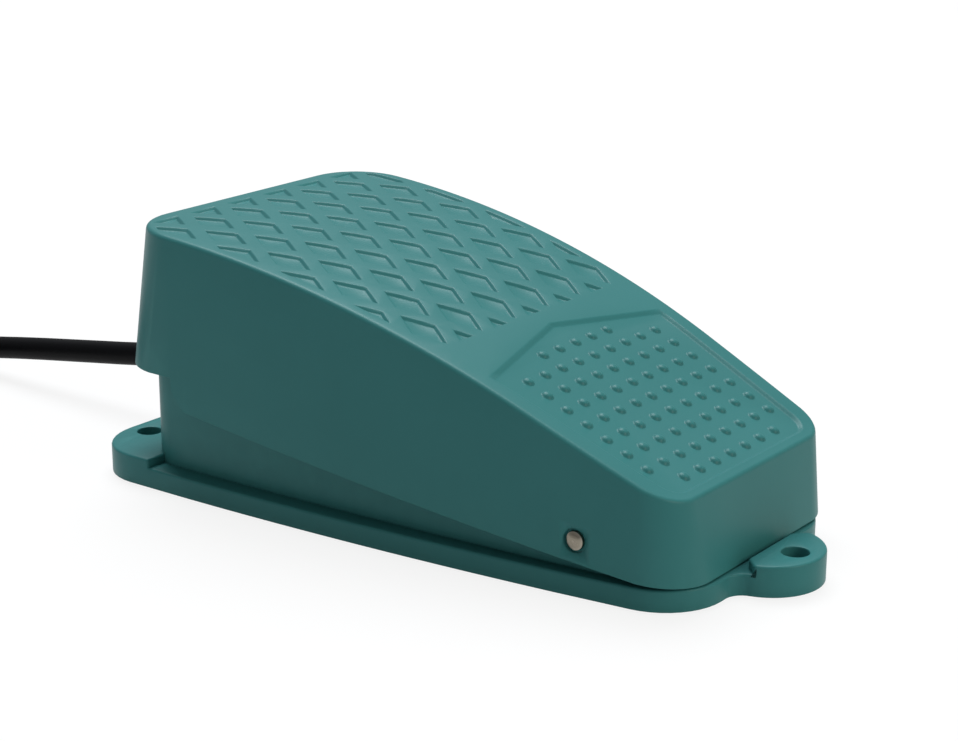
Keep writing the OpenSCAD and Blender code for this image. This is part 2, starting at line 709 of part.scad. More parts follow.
// Rubber stops: a plug with a stem pushed into the post
stop_stem_d = 5;
stop_stem_h = 6;
stop_taper = 3;
module bump_stops() {
    color(rubber) for (s = [-1, 1]) translate([stop_x, s * stop_y, base_z + stop_post_h]) {
        cylinder(d1 = stop_d, d2 = stop_d - stop_taper, h = stop_h, $fn = fine);
        translate([0, 0, -stop_stem_h]) cylinder(d = stop_stem_d, h = stop_stem_h + over, $fn = fine);
    }
}

// Push screw with a round tip, and its lock nut
push_skin = 1.2;
push_thread_len = top_z(push_x + pusher_d / 2, tread_depth) - push_skin - push_boss_z;
module push_screw() {
    color(steel) translate([push_x, 0, 0]) {
        translate([0, 0, push_tip_z + pusher_d / 2]) sphere(d = pusher_d, $fn = fine);
        translate([0, 0, push_tip_z + pusher_d / 2])
            cylinder(d = pusher_d, h = push_boss_z + push_thread_len - gap - push_tip_z - pusher_d / 2,
                $fn = fine);
    }
}
module push_screw_nut() {
    color(steel) translate([push_x, 0, push_boss_z - nut_h]) difference() {
        cylinder(d = nut_af / cos(30), h = nut_h, $fn = 6);
        translate([0, 0, -over]) cylinder(d = pusher_d + 2 * fit, h = nut_h + 2 * over, $fn = fine);
    }
}

// Snap-action switch
bolt_places = [for (s = [-1, 1]) [case_x + case_len / 2 + s * bolt_pitch / 2, case_z + bolt_up]];
lid_y = -case_w / 2;
body_y = lid_y + case_lid_t;
plunger_x = lever_x - plunger_reach;
hinge_lug_t = 2;
collar_t = 1;
collar_h = 2;
blade_up = 1;
pivot_d = 2;
knuckle_d = 4;
blade_z = case_z + case_h / 2 + blade_up;
blade_t = 0.6;
blade_w = 6;
tab_w = 4.8;
tab_t = 0.8;
tab_len = 8;
tab_pitch = 9;
tab_inset = 5.3;
bolt_boss_t = 1.3;
common_x = case_x + case_len - tab_inset;
open_x = case_x + (case_len + tab_pitch) / 2;
closed_x = case_x + (case_len - tab_pitch) / 2;
tab_xs = [common_x, open_x, closed_x];
plunger_top = lever_z + (plunger_reach - plunger_d / 2) * tan(lever_high) - lever_t / 2 / cos(lever_high)
    - gap;
stem_low = blade_z + blade_t / 2 + plunger_reach * (tan(lever_high) - tan(lever_low)) + gap;

module bolt_line(d, y0, y1) {
    for (p = bolt_places) translate([p[0], y0, p[1]]) rotate([-90, 0, 0])
        cylinder(d = d, h = y1 - y0, $fn = fine);
}
module bolt_bosses() {
    intersection() {
        bolt_line(bolt_d + 2 * bolt_boss_t, body_y, case_w / 2);
        translate([case_x, body_y, case_z]) cube([case_len, case_w, case_h]);
    }
}
module micro_switch_case() {
    color(black) difference() {
        union() {
            difference() {
                translate([case_x, body_y, case_z]) cube([case_len, case_w - case_lid_t, case_h]);
                translate([case_x + case_t, body_y - over, case_z + case_t])
                    cube([case_len - 2 * case_t, case_w - case_lid_t - case_t + over, case_h - 2 * case_t]);
            }
            bolt_bosses();
            for (s = [0, 1]) mirror([0, s, 0]) {
                translate([lever_x, lever_w / 2 + gap, lever_z]) rotate([-90, 0, 0])
                    cylinder(d = knuckle_d, h = hinge_lug_t, $fn = fine);
                translate([lever_x - knuckle_d / 2, lever_w / 2 + gap, case_top - case_t / 2])
                    cube([knuckle_d, hinge_lug_t, lever_up + case_t / 2]);
            }
        }
        bolt_line(bolt_d + 2 * fit, -case_w, case_w);
        translate([plunger_x, 0, case_top - case_t - over])
            cylinder(d = plunger_d + 2 * fit, h = case_t + 2 * over, $fn = fine);
        for (x = tab_xs) translate([x - tab_w / 2 - fit, -tab_t / 2 - fit, case_z - over])
            cube([tab_w + 2 * fit, tab_t + 2 * fit, case_t + 2 * over]);
        translate([lever_x, -case_w, lever_z]) rotate([-90, 0, 0])
            cylinder(d = pivot_d + 2 * fit, h = 2 * case_w, $fn = fine);
    }
}
module micro_switch_cover() {
    color(rubber) difference() {
        translate([case_x, lid_y, case_z]) cube([case_len, case_lid_t, case_h]);
        bolt_line(bolt_d + 2 * fit, -case_w, case_w);
    }
}
module micro_switch_plunger() {
    color([0.6, 0.1, 0.1]) translate([plunger_x, 0, 0]) {
        translate([0, 0, stem_low]) cylinder(d = plunger_d, h = plunger_top - stem_low, $fn = fine);
        translate([0, 0, stem_low]) cylinder(d = plunger_d + 2 * collar_t, h = collar_h, $fn = fine);
    }
}
module micro_switch_lever() {
    color(steel) difference() {
        translate([lever_x, 0, lever_z]) rotate([0, lever_high, 0]) union() {
            translate([0, lever_w / 2, 0]) rotate([90, 0, 0])
                cylinder(d = knuckle_d, h = lever_w, $fn = fine);
            translate([-lever_reach - lever_w, -lever_w / 2, -lever_t / 2])
                cube([lever_reach + lever_w, lever_w, lever_t]);
        }
        translate([lever_x, -case_w, lever_z]) rotate([-90, 0, 0])
            cylinder(d = pivot_d + 2 * fit, h = 2 * case_w, $fn = fine);
    }
}
module lever_pivot_pin() {
    reach = lever_w / 2 + gap + hinge_lug_t;
    color(steel) translate([lever_x, -reach, lever_z]) rotate([-90, 0, 0]) {
        cylinder(d = pivot_d, h = 2 * reach, $fn = fine);
        for (z = [-pivot_d / 4, 2 * reach]) translate([0, 0, z])
            cylinder(d = pivot_d * 1.5, h = pivot_d / 4, $fn = fine);
    }
}

// Contact blade, and three terminals that pass through the case's floor
module contact_blade() {
    color(brass) translate([closed_x - tab_w / 2, -blade_w / 2, blade_z - blade_t / 2])
        cube([common_x - closed_x + tab_w, blade_w, blade_t]);
}
module terminal(x, z_in) {
    translate([x - tab_w / 2, -tab_t / 2, case_z - tab_len]) cube([tab_w, tab_t, tab_len + z_in - case_z]);
}
module terminal_common() {
    color(brass) terminal(common_x, blade_z - blade_t / 2);
}
module terminal_open() {
    color(brass) {
        terminal(open_x, blade_z - 3 * blade_t);
        translate([open_x, 0, blade_z - 3.5 * blade_t]) cylinder(d = blade_w / 2, h = blade_t, $fn = fine);
    }
}
module terminal_closed() {
    inner_x = closed_x - tab_w / 2 - gap;
    color(brass) {
        terminal(closed_x, case_z + 2 * case_t);
        translate([inner_x - tab_t, -tab_t / 2, case_z + case_t + gap])
            cube([tab_t, tab_t, blade_z + 3 * blade_t - case_z - case_t - gap]);
        translate([inner_x - tab_t, -tab_t / 2, case_z + case_t + gap]) cube([tab_w, tab_t, tab_t]);
        translate([inner_x - tab_t, -blade_w / 4, blade_z + 2 * blade_t])
            cube([tab_w, blade_w / 2, blade_t]);
    }
}

// Bracket of folded sheet, with its screws and the bolts and nuts of the switch
bolt_head_h = 2.4;
foot_screw_len = 6;
bracket_over = 5;
bolt_tail = 1;
module switch_bracket() {
    color(steel) difference() {
        union() {
            translate([bracket_x, bracket_y, foot_z])
                cube([case_len - 2 * bracket_inset, bracket_t, case_z + bolt_up + bracket_over - foot_z]);
            translate([bracket_x, bracket_y, foot_z]) cube([foot_len, foot_w, bracket_t]);
        }
        bolt_line(bolt_d + 2 * fit, -case_w, 2 * case_w);
        for (p = foot_places) translate([p[0], p[1], foot_z - over])
            cylinder(d = screw_d + 4 * fit, h = bracket_t + 2 * over, $fn = fine);
    }
}
module pan_screw(length) {
    translate([0, 0, -length]) cylinder(d = screw_d, h = length + over, $fn = fine);
    difference() {
        cylinder(d = screw_head_d, h = screw_head_h, $fn = fine);
        translate([-screw_head_d, -screw_d / 8, screw_head_h / 2])
            cube([2 * screw_head_d, screw_d / 4, screw_head_h]);
    }
}
module bracket_screws() {
    color(steel) for (p = foot_places) translate([p[0], p[1], foot_z + bracket_t])
        pan_screw(foot_screw_len + bracket_t - gap);
}
module switch_bolts() {
    color(steel) {
        bolt_line(bolt_d, lid_y, bracket_y + bracket_t + nut_h + bolt_tail);
        bolt_line(bolt_d * 1.8, lid_y - bolt_head_h, lid_y);
    }
}
module switch_nuts() {
    color(steel) for (p = bolt_places) translate([p[0], bracket_y + bracket_t, p[1]])
        rotate([-90, 0, 0]) difference() {
            cylinder(d = 2 * bolt_d, h = nut_h, $fn = 6);
            translate([0, 0, -over]) cylinder(d = bolt_d + 2 * fit, h = nut_h + 2 * over, $fn = fine);
        }
}

// Cable entry: strain relief, clamp and the length of cable that they hold
relief_flange = 1.5;
relief_flange_d = 13;
relief_tip_x = upstand_rear - relief_flange - relief_len;
cable_tail = 2;
cable_end_x = clamp_x + clamp_len + cable_tail;
clamp_screw_len = 10;

module strain_relief() {
    color(rubber) translate([upstand_rear, 0, cable_z]) rotate([0, 90, 0]) difference() {
        union() {
            cylinder(d = relief_hole_d, h = upstand_t, $fn = fine);
            translate([0, 0, upstand_t]) cylinder(d = relief_flange_d, h = relief_flange, $fn = fine);
            translate([0, 0, -relief_flange]) cylinder(d = relief_flange_d, h = relief_flange, $fn = fine);
            translate([0, 0, -relief_flange - relief_len])
                cylinder(d1 = relief_tip_d, d2 = relief_d, h = relief_len, $fn = fine);
        }
        translate([0, 0, -far]) cylinder(d = cable_d + 2 * fit, h = 2 * far, $fn = fine);
    }
}
module inner_cable() {
    color(rubber) translate([relief_tip_x, 0, cable_z]) rotate([0, 90, 0])
        cylinder(d = cable_d, h = cable_end_x - relief_tip_x, $fn = fine);
}
module cable_clamp() {
    color(black) difference() {
        translate([clamp_x, -clamp_w / 2, cable_z + gap / 2]) cube([clamp_len, clamp_w, clamp_h]);
        translate([clamp_x - over, 0, cable_z]) rotate([0, 90, 0])
            cylinder(d = cable_d + 2 * fit, h = clamp_len + 2 * over, $fn = fine);
        for (s = [-1, 1]) translate([clamp_x + clamp_len / 2, s * clamp_screw_y, 0])
            cylinder(d = screw_d + 4 * fit, h = far, $fn = fine);
    }
}
module clamp_screws() {
    color(steel) for (s = [-1, 1])
        translate([clamp_x + clamp_len / 2, s * clamp_screw_y, cable_z + gap / 2 + clamp_h])
            pan_screw(clamp_screw_len + clamp_h - 2 * gap);
}

// Cores inside the base, from the end of the sheath to the crimp sleeves
sleeve_wall = 0.8;
sleeve_w = tab_w + 2 * sleeve_wall;
sleeve_t = 3.2;
sleeve_len = 7;
sleeve_tail = 2.6;
sleeve_z = case_z - tab_len - sleeve_tail;
core_ring = 1.7;
run_up = 3.4;
run_z = floor_z + run_up;
run_low_z = floor_z + core_d / 2 + gap;
lane_share = 1.3;
bend_share = 1.8;
long_bend_share = 2.4;
core_steps = 6;
function bend_pts(a, b, c) = [for (k = [0:core_steps]) let (t = k / core_steps)
    a * pow(1 - t, 2) + b * 2 * t * (1 - t) + c * t * t];
module core(x, angle, lane) {
    start = [cable_end_x, core_ring * cos(angle), cable_z + core_ring * sin(angle)];
    y = lane * core_d * lane_share;
    turn = bend_share * core_d;
    z = lane == 0 ? run_low_z : run_z;
    out = start + [lane == 0 ? long_bend_share * turn : turn / 2, lane * core_d / 4, 0];
    low = [out[0] + turn, y, z];
    path = concat([start], bend_pts(start + [core_d / 2, 0, 0], out, [low[0], y, (start[2] + z) / 2]),
        bend_pts([low[0], y, (start[2] + z) / 2 - core_d / 2], low, low + [turn, 0, 0]),
        bend_pts([x - 2 * turn, y, z], [x - turn / 2, y / 2, z], [x - turn / 3, 0, z + turn / 3]),
        [[x, 0, sleeve_z - turn / 2], [x, 0, sleeve_z]]);
    tube(path, core_d, 8, [0, 1, 0]);
}
module wire_common() {
    color([0.15, 0.25, 0.6]) core(common_x, 90, 0);
}
module wire_open() {
    color([0.45, 0.25, 0.12]) core(open_x, 210, -1);
}
module wire_closed() {
    color([0.4, 0.55, 0.1]) core(closed_x, -30, 1);
}
module crimp_sleeves() {
    color(brass) for (x = tab_xs) translate([x - sleeve_w / 2, -sleeve_t / 2, sleeve_z]) difference() {
        cube([sleeve_w, sleeve_t, sleeve_len]);
        translate([sleeve_w / 2 - tab_w / 2 - 2 * fit, sleeve_t / 2 - tab_t / 2 - 2 * fit,
            case_z - tab_len - sleeve_z - gap])
            cube([tab_w + 4 * fit, tab_t + 4 * fit, sleeve_len + over]);
    }
}

// The cord: its free stretch, its coil and the bare cores at its end
cord_z = cable_d / 2 + 2 * fit;
coil_x = -240;
coil_mid_r = 35;
coil_gap = 0.7;
coil_pitch = cable_d + coil_gap;
turns_low = 3.5;
turns_high = 2.8;
climb_turns = 0.5;
coil_r = coil_mid_r + coil_pitch * turns_low / 2;
coil_rings = 24;
route = [[relief_tip_x, 0, cable_z], [-121, 0, 19.4], [-128, 0, 18.5], [-136, 0, 17.3], [-146, 0, 15.9],
    [-158, 0, 14.2], [-170, 0, 12.5], [-182, 0, 10.7], [-192, 0, 9.1], [-202, 0, 7.4],
    [-211, 0, 5.8], [-219, 0, 4.6], [-226, 0, 3.8], [-233, 0, 3.6]];
function ease(t) = t < 0 ? 0 : t > 1 ? 1 : t * t * (3 - 2 * t);
function coil_at(f) =
    let (r = f < turns_low ? coil_r - coil_pitch * f : coil_r + coil_pitch * (f - 2 * turns_low),
        a = 90 + 360 * f)
    [coil_x + r * cos(a), -coil_r + r * sin(a),
        cord_z + coil_pitch * ease((f - turns_low) / climb_turns + 1 / 2)];
coil_turns = turns_low + turns_high;
coil_steps = ceil(coil_turns * coil_rings);
coil_body = [for (k = [0:coil_steps]) coil_at(coil_turns * k / coil_steps)];
coil_tail = coil_body[coil_steps];
tail_step = coil_tail - coil_body[coil_steps - 1];
tail_dir = unit([tail_step[0], tail_step[1], 0]);
coil_path = concat([[coil_x + cable_d, 0, cord_z]], coil_body, [coil_tail + cable_d * tail_dir]);
function path_len(p) = len(p) < 2 ? 0 : [for (k = 0, s = 0; k < len(p); k = k + 1,
    s = s + (k < len(p) ? norm(p[k] - p[k - 1]) : 0)) s][len(p) - 1];
echo(cord_free_mm = path_len(route), coil_mm = path_len(coil_path));
echo(least_gap_mm = min([for (i = [0:coil_steps], j = [i + coil_rings / 2:coil_steps])
    norm(coil_body[i] - coil_body[j])]) - cable_d);

module cord_free() {
    color(rubber) tube(route, cable_d, 12, [0, 0, 1]);
}
module cord_coil() {
    color(rubber) tube(coil_path, cable_d, 8, [0, 0, 1]);
}
module cord_end_cores() {
    start = coil_tail + cable_d * tail_dir;
    side = cross([0, 0, 1], tail_dir);
    core_len = 24;
    color([0.45, 0.25, 0.12]) for (a = [90, 210, 330]) {
        p = start + core_ring * cos(a) * side + [0, 0, core_ring * sin(a)];
        tube([p, p + core_len * tail_dir], core_d, 8, [0, 0, 1]);
    }
}

base_tray();
rubber_pads();
pedal_cover();
hinge_pin();
pin_clips();
return_spring_near();
return_spring_far();
bump_stops();
push_screw();
push_screw_nut();
micro_switch_case();
micro_switch_cover();
micro_switch_plunger();
micro_switch_lever();
lever_pivot_pin();
contact_blade();
terminal_common();
terminal_open();
terminal_closed();
switch_bracket();
bracket_screws();
switch_bolts();
switch_nuts();
strain_relief();
cable_clamp();
clamp_screws();
inner_cable();
wire_common();
wire_open();
wire_closed();
crimp_sleeves();
cord_free();
cord_coil();
cord_end_cores();
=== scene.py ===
# %% [markdown]
# # A foot switch in moulded plastic
# The object is a wedge-shaped treadle that rocks on a steel pin over a flanged
# base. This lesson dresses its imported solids: it models the parts that show
# again with rounded edges, and gives each piece a procedural material. All
# pieces stay in the frame of the solids, in metres, with +X towards the low end.

import math

import bmesh
import bpy
from mathutils import Matrix, Vector
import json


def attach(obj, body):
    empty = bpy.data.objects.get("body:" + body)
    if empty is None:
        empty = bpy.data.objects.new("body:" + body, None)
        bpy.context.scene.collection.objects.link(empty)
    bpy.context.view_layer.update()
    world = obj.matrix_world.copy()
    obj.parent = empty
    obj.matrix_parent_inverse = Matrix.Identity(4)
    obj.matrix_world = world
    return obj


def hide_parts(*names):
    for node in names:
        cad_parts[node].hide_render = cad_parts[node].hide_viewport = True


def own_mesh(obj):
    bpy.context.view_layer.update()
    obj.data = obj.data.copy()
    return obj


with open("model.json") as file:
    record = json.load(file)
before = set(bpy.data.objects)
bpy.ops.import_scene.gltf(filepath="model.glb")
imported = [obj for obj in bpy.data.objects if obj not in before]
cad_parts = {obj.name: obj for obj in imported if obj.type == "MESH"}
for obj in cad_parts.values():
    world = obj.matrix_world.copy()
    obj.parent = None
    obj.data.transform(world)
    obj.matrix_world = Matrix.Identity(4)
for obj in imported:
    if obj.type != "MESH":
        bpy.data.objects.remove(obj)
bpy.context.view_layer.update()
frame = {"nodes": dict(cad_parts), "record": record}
nodes = frame["nodes"]
MM = 0.001

# %% [markdown]
# ## The camera
# The photograph was taken a little above the treadle with a long lens. Its
# place, turn and lens were fitted to the corners of the treadle and base and to
# the rows of studs, so the render has the same perspective.

# %% Camera
CAMERA_AT = Vector((0.3264, -0.4395, 0.2058))
AZIMUTH, PITCH, ROLL = (math.radians(a) for a in (36.676, 17.123, 0.168))
LENS, SENSOR = 81.4, 36.0

ahead = Vector((-math.sin(AZIMUTH) * math.cos(PITCH), math.cos(AZIMUTH) * math.cos(PITCH), -math.sin(PITCH)))
level = Vector((math.cos(AZIMUTH), math.sin(AZIMUTH), 0))
upward = level.cross(ahead)
right = level * math.cos(ROLL) + upward * math.sin(ROLL)
above = upward * math.cos(ROLL) - level * math.sin(ROLL)
camera_data = bpy.data.cameras.new("camera")
camera_data.lens, camera_data.sensor_width = LENS, SENSOR
camera_data.clip_start, camera_data.clip_end = 0.01, 50
camera = bpy.data.objects.new("camera", camera_data)
camera.matrix_world = Matrix((
    (right.x, above.x, -ahead.x, CAMERA_AT.x),
    (right.y, above.y, -ahead.y, CAMERA_AT.y),
    (right.z, above.z, -ahead.z, CAMERA_AT.z),
    (0, 0, 0, 1)))
bpy.context.scene.collection.objects.link(camera)
bpy.context.scene.camera = camera
print("camera:", tuple(round(c, 4) for c in CAMERA_AT), "lens", LENS)

# %% [markdown]
# ## The cable
# A light three-core lead leaves the tapered strain relief at the high end, sinks
# to the floor and is put away in a neat coil outside the picture. One curve
# carries its whole length. The route's points are the ones that the solids
# follow: listed points down to the floor, then two layers of turns.

# %% The cable's route
CABLE_D = 7 * MM
COIL_X, COIL_R, COIL_PITCH, REST_Z = -240, 48.475, 7.7, 3.6
TURNS_LOW, TURNS_HIGH, RINGS_PER_TURN = 3.5, 2.8, 24
ROUTE = [(-115, 19.6), (-121, 19.4), (-128, 18.5), (-136, 17.3), (-146, 15.9), (-158, 14.2), (-170, 12.5),
         (-182, 10.7), (-192, 9.1), (-202, 7.4), (-211, 5.8), (-219, 4.6), (-226, 3.8), (-233, 3.6)]


def ease(t):
    t = min(max(t, 0), 1)
    return t * t * (3 - 2 * t)


def coil_at(turn):
    """A point of the coil, in millimetres, after so many turns."""
    wound = turn if turn < TURNS_LOW else 2 * TURNS_LOW - turn
    r, a = COIL_R - COIL_PITCH * wound, math.radians(90 + 360 * turn)
    z = REST_Z + COIL_PITCH * ease((turn - TURNS_LOW + 0.25) / 0.5)
    return Vector((COIL_X + r * math.cos(a), -COIL_R + r * math.sin(a), z))


coil_steps = math.ceil((TURNS_LOW + TURNS_HIGH) * RINGS_PER_TURN)
coil = [coil_at((TURNS_LOW + TURNS_HIGH) * k / coil_steps) for k in range(coil_steps + 1)]
last = coil[-1] - coil[-2]
last.z = 0
route = [Vector((x, 0, z)) for x, z in ROUTE] + coil + [coil[-1] + 7 * last.normalized()]
route = [p * MM for p in route]


# %% The cable as a swept curve
def swept(name, points, radius, smooth=6):
    """A curve of one open line, drawn as a round tube."""
    data = bpy.data.curves.new(name, "CURVE")
    data.dimensions = "3D"
    data.bevel_depth, data.bevel_resolution = 1.0, smooth
    data.use_fill_caps = True
    line = data.splines.new("POLY")
    line.points.add(len(points) - 1)
    for p, q in zip(line.points, points):
        p.co, p.radius = (*q, 1), radius
    piece = bpy.data.objects.new(name, data)
    bpy.context.scene.collection.objects.link(piece)
    return piece


cable = swept("cable_free", route, CABLE_D / 2)
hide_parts("cord_free", "cord_coil")
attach(cable, "base")

# %% [markdown]
# ## Materials
# The shell is one moulded plastic with a fine spark-eroded texture. Two node
# groups make what the materials share. One gives mottled tone, the other a fine
# grain as height and a little change in roughness. Convex edges are slightly
# paler, partly wear where hands and shoes touch and partly a painted highlight,
# which a mask from the Geometry node gives.


# %% Helper for node groups and materials
def new_group(name, inputs, outputs):
    group = bpy.data.node_groups.new(name, "ShaderNodeTree")
    for label, value in inputs:
        socket = group.interface.new_socket(label, in_out="INPUT", socket_type="NodeSocketFloat")
        socket.default_value = value
    for label, kind in outputs:
        group.interface.new_socket(label, in_out="OUTPUT", socket_type=kind)
    return group, group.nodes.new("NodeGroupInput"), group.nodes.new("NodeGroupOutput")


def noise(tree, scale, detail=4.0, roughness=0.55):
    """A noise node; scale is a number or a socket."""
    node = tree.nodes.new("ShaderNodeTexNoise")
    node.inputs["Detail"].default_value = detail
    node.inputs["Roughness"].default_value = roughness
    if isinstance(scale, (int, float)):
        node.inputs["Scale"].default_value = scale
    else:
        tree.links.new(scale, node.inputs["Scale"])
    return node


def math_node(tree, operation, a, b=None, clamp=False):
    node = tree.nodes.new("ShaderNodeMath")
    node.operation, node.use_clamp = operation, clamp
    for k, value in enumerate((a, b)):
        if isinstance(value, (int, float)):
            node.inputs[k].default_value = value
        elif value is not None:
            tree.links.new(value, node.inputs[k])
    return node.outputs[0]


# %% Shared effect: a fine moulded grain
grain_group, grain_in, grain_out = new_group(
    "moulded_grain", [("Grain Scale", 900.0), ("Roughness Base", 0.45), ("Roughness Spread", 0.1)],
    [("Height", "NodeSocketFloat"), ("Roughness", "NodeSocketFloat")])
place = grain_group.nodes.new("ShaderNodeTexCoord").outputs["Object"]
fine = noise(grain_group, grain_in.outputs["Grain Scale"], 3.0)
broad = noise(grain_group, 45.0, 3.0)
for texture in (fine, broad):
    grain_group.links.new(place, texture.inputs["Vector"])
grain_group.links.new(fine.outputs["Fac"], grain_out.inputs["Height"])
spread = math_node(grain_group, "MULTIPLY", math_node(grain_group, "SUBTRACT", broad.outputs["Fac"], 0.5),
                   grain_in.outputs["Roughness Spread"])
total = math_node(grain_group, "ADD", spread, grain_in.outputs["Roughness Base"], clamp=True)
grain_group.links.new(total, grain_out.inputs["Roughness"])

# %% Shared effect: mottled tone with paler edges, partly wear and partly painted highlight
tone_group, tone_in, tone_out = new_group(
    "mottled_tone", [("Mottle Scale", 30.0), ("Edge Share", 0.5)],
    [("Mottle", "NodeSocketFloat"), ("Edge", "NodeSocketFloat")])
place = tone_group.nodes.new("ShaderNodeTexCoord").outputs["Object"]
clouds = noise(tone_group, tone_in.outputs["Mottle Scale"], 5.0)
breakup = noise(tone_group, 220.0, 4.0)
for texture in (clouds, breakup):
    tone_group.links.new(place, texture.inputs["Vector"])
tone_group.links.new(clouds.outputs["Fac"], tone_out.inputs["Mottle"])
# Pointiness marks convex edges. Their paler tone is partly wear and partly a painted highlight.
sharp = tone_group.nodes.new("ShaderNodeNewGeometry").outputs["Pointiness"]
ridge = math_node(tone_group, "MULTIPLY", math_node(tone_group, "SUBTRACT", sharp, 0.515), 14.0, clamp=True)
wear_and_highlight = math_node(tone_group, "MULTIPLY", ridge, breakup.outputs["Fac"])
tone_group.links.new(math_node(tone_group, "MULTIPLY", wear_and_highlight, tone_in.outputs["Edge Share"], clamp=True),
                     tone_out.inputs["Edge"])
print("node groups:", [g.name for g in bpy.data.node_groups])


# %% Helper: a solid material from the shared effects
def finish(name, dark, light, edge, rough=0.45, spread=0.12, grain=900.0, bump=0.04, depth=0.0002,
           metal=0.0, mottle=30.0, edge_share=0.5, specular=0.5):
    """Dark and light are the two tones of the surface, and edge is the tone of its convex edges, partly wear
    and partly a painted highlight.
    """
    material = bpy.data.materials.new(name)
    material.use_nodes = True
    tree = material.node_tree
    shader = tree.nodes["Principled BSDF"]
    tone = tree.nodes.new("ShaderNodeGroup")
    tone.node_tree = tone_group
    tone.inputs["Mottle Scale"].default_value = mottle
    tone.inputs["Edge Share"].default_value = edge_share
    grainy = tree.nodes.new("ShaderNodeGroup")
    grainy.node_tree = grain_group
    grainy.inputs["Grain Scale"].default_value = grain
    grainy.inputs["Roughness Base"].default_value = rough
    grainy.inputs["Roughness Spread"].default_value = spread
    base = tree.nodes.new("ShaderNodeMix")
    base.data_type = "RGBA"
    base.inputs["A"].default_value = (*dark, 1)
    base.inputs["B"].default_value = (*light, 1)
    tree.links.new(tone.outputs["Mottle"], base.inputs["Factor"])
    # Paler convex edges mix in here: partly wear, partly a painted highlight.
    rim = tree.nodes.new("ShaderNodeMix")
    rim.data_type = "RGBA"
    rim.inputs["B"].default_value = (*edge, 1)
    tree.links.new(base.outputs["Result"], rim.inputs["A"])
    tree.links.new(tone.outputs["Edge"], rim.inputs["Factor"])
    tree.links.new(rim.outputs["Result"], shader.inputs["Base Color"])
    tree.links.new(grainy.outputs["Roughness"], shader.inputs["Roughness"])
    relief = tree.nodes.new("ShaderNodeBump")
    relief.inputs["Strength"].default_value = bump
    relief.inputs["Distance"].default_value = depth
    tree.links.new(grainy.outputs["Height"], relief.inputs["Height"])
    tree.links.new(relief.outputs["Normal"], shader.inputs["Normal"])
    shader.inputs["Metallic"].default_value = metal
    shader.inputs["Specular IOR Level"].default_value = specular
    return material


# %% The finishes
# The third colour is the paler tone of convex edges, partly wear and partly a painted highlight.
shell_green = finish("shell_green", (0.024, 0.126, 0.126), (0.029, 0.143, 0.143), (0.050, 0.195, 0.190),
                     rough=0.38, spread=0.10, grain=1500.0, bump=0.10, depth=0.0001, specular=0.12)
pin_steel = finish("pin_steel", (0.15, 0.135, 0.105), (0.30, 0.27, 0.22), (0.5, 0.47, 0.4), rough=0.27,
                   spread=0.2, grain=2500.0, metal=1.0, mottle=300.0)
zinc = finish("zinc_plate", (0.52, 0.53, 0.53), (0.64, 0.65, 0.64), (0.8, 0.8, 0.8), rough=0.34,
              spread=0.2, metal=1.0, mottle=120.0)
spring_steel = finish("spring_steel", (0.34, 0.34, 0.35), (0.45, 0.45, 0.46), (0.6, 0.6, 0.6), rough=0.3,
                      metal=1.0, mottle=200.0)
contact_brass = finish("contact_brass", (0.62, 0.42, 0.16), (0.75, 0.54, 0.24), (0.85, 0.68, 0.38),
                       rough=0.3, metal=1.0, mottle=150.0)
black_rubber = finish("black_rubber", (0.016, 0.016, 0.017), (0.028, 0.028, 0.029), (0.05, 0.05, 0.05),
                      rough=0.62, grain=1200.0, bump=0.2)
black_plastic = finish("black_plastic", (0.02, 0.02, 0.022), (0.03, 0.03, 0.032), (0.06, 0.06, 0.06),
                       rough=0.42, grain=1100.0, bump=0.08)
red_plastic = finish("red_plastic", (0.32, 0.02, 0.015), (0.42, 0.03, 0.02), (0.5, 0.08, 0.06), rough=0.3)
sheath = finish("cable_sheath", (0.0012, 0.0014, 0.002), (0.0024, 0.0026, 0.0034), (0.03, 0.03, 0.032),
                rough=0.5, spread=0.15, grain=700.0, bump=0.12, mottle=60.0, edge_share=0.0, specular=0.06)
core_blue = finish("core_blue", (0.02, 0.06, 0.3), (0.03, 0.08, 0.36), (0.1, 0.15, 0.4), rough=0.35)
core_brown = finish("core_brown", (0.13, 0.05, 0.02), (0.17, 0.07, 0.03), (0.2, 0.1, 0.06), rough=0.35)
core_green = finish("core_green", (0.1, 0.26, 0.03), (0.14, 0.32, 0.05), (0.2, 0.4, 0.1), rough=0.35)
slot_finish = {
    "treadle": shell_green, "base": shell_green, "steel": pin_steel, "zinc": zinc, "brass": contact_brass,
    "black_rubber": black_rubber, "black_plastic": black_plastic, "red_plastic": red_plastic,
    "cable_sheath": sheath, "core_blue": core_blue, "core_brown": core_brown, "core_green": core_green}
print("materials:", len(slot_finish))

# %% Put a finish on every solid that stays
slot_of = {s["node"]: s["material_slot"] for s in frame["record"]["subparts"]}
for node, solid in nodes.items():
    solid.data.materials.clear()
    solid.data.materials.append(slot_finish[slot_of[node]])
cable.data.materials.append(sheath)

# %% [markdown]
# ## Sizes of the shell
# The treadle's side view is a straight slope that runs into a crest of one large
# radius. Seen from above, its long sides are bowed, and all four walls lean
# outwards a little as they go down, so that the moulding leaves its tool. These
# values are in millimetres, and repeat those of the solids.

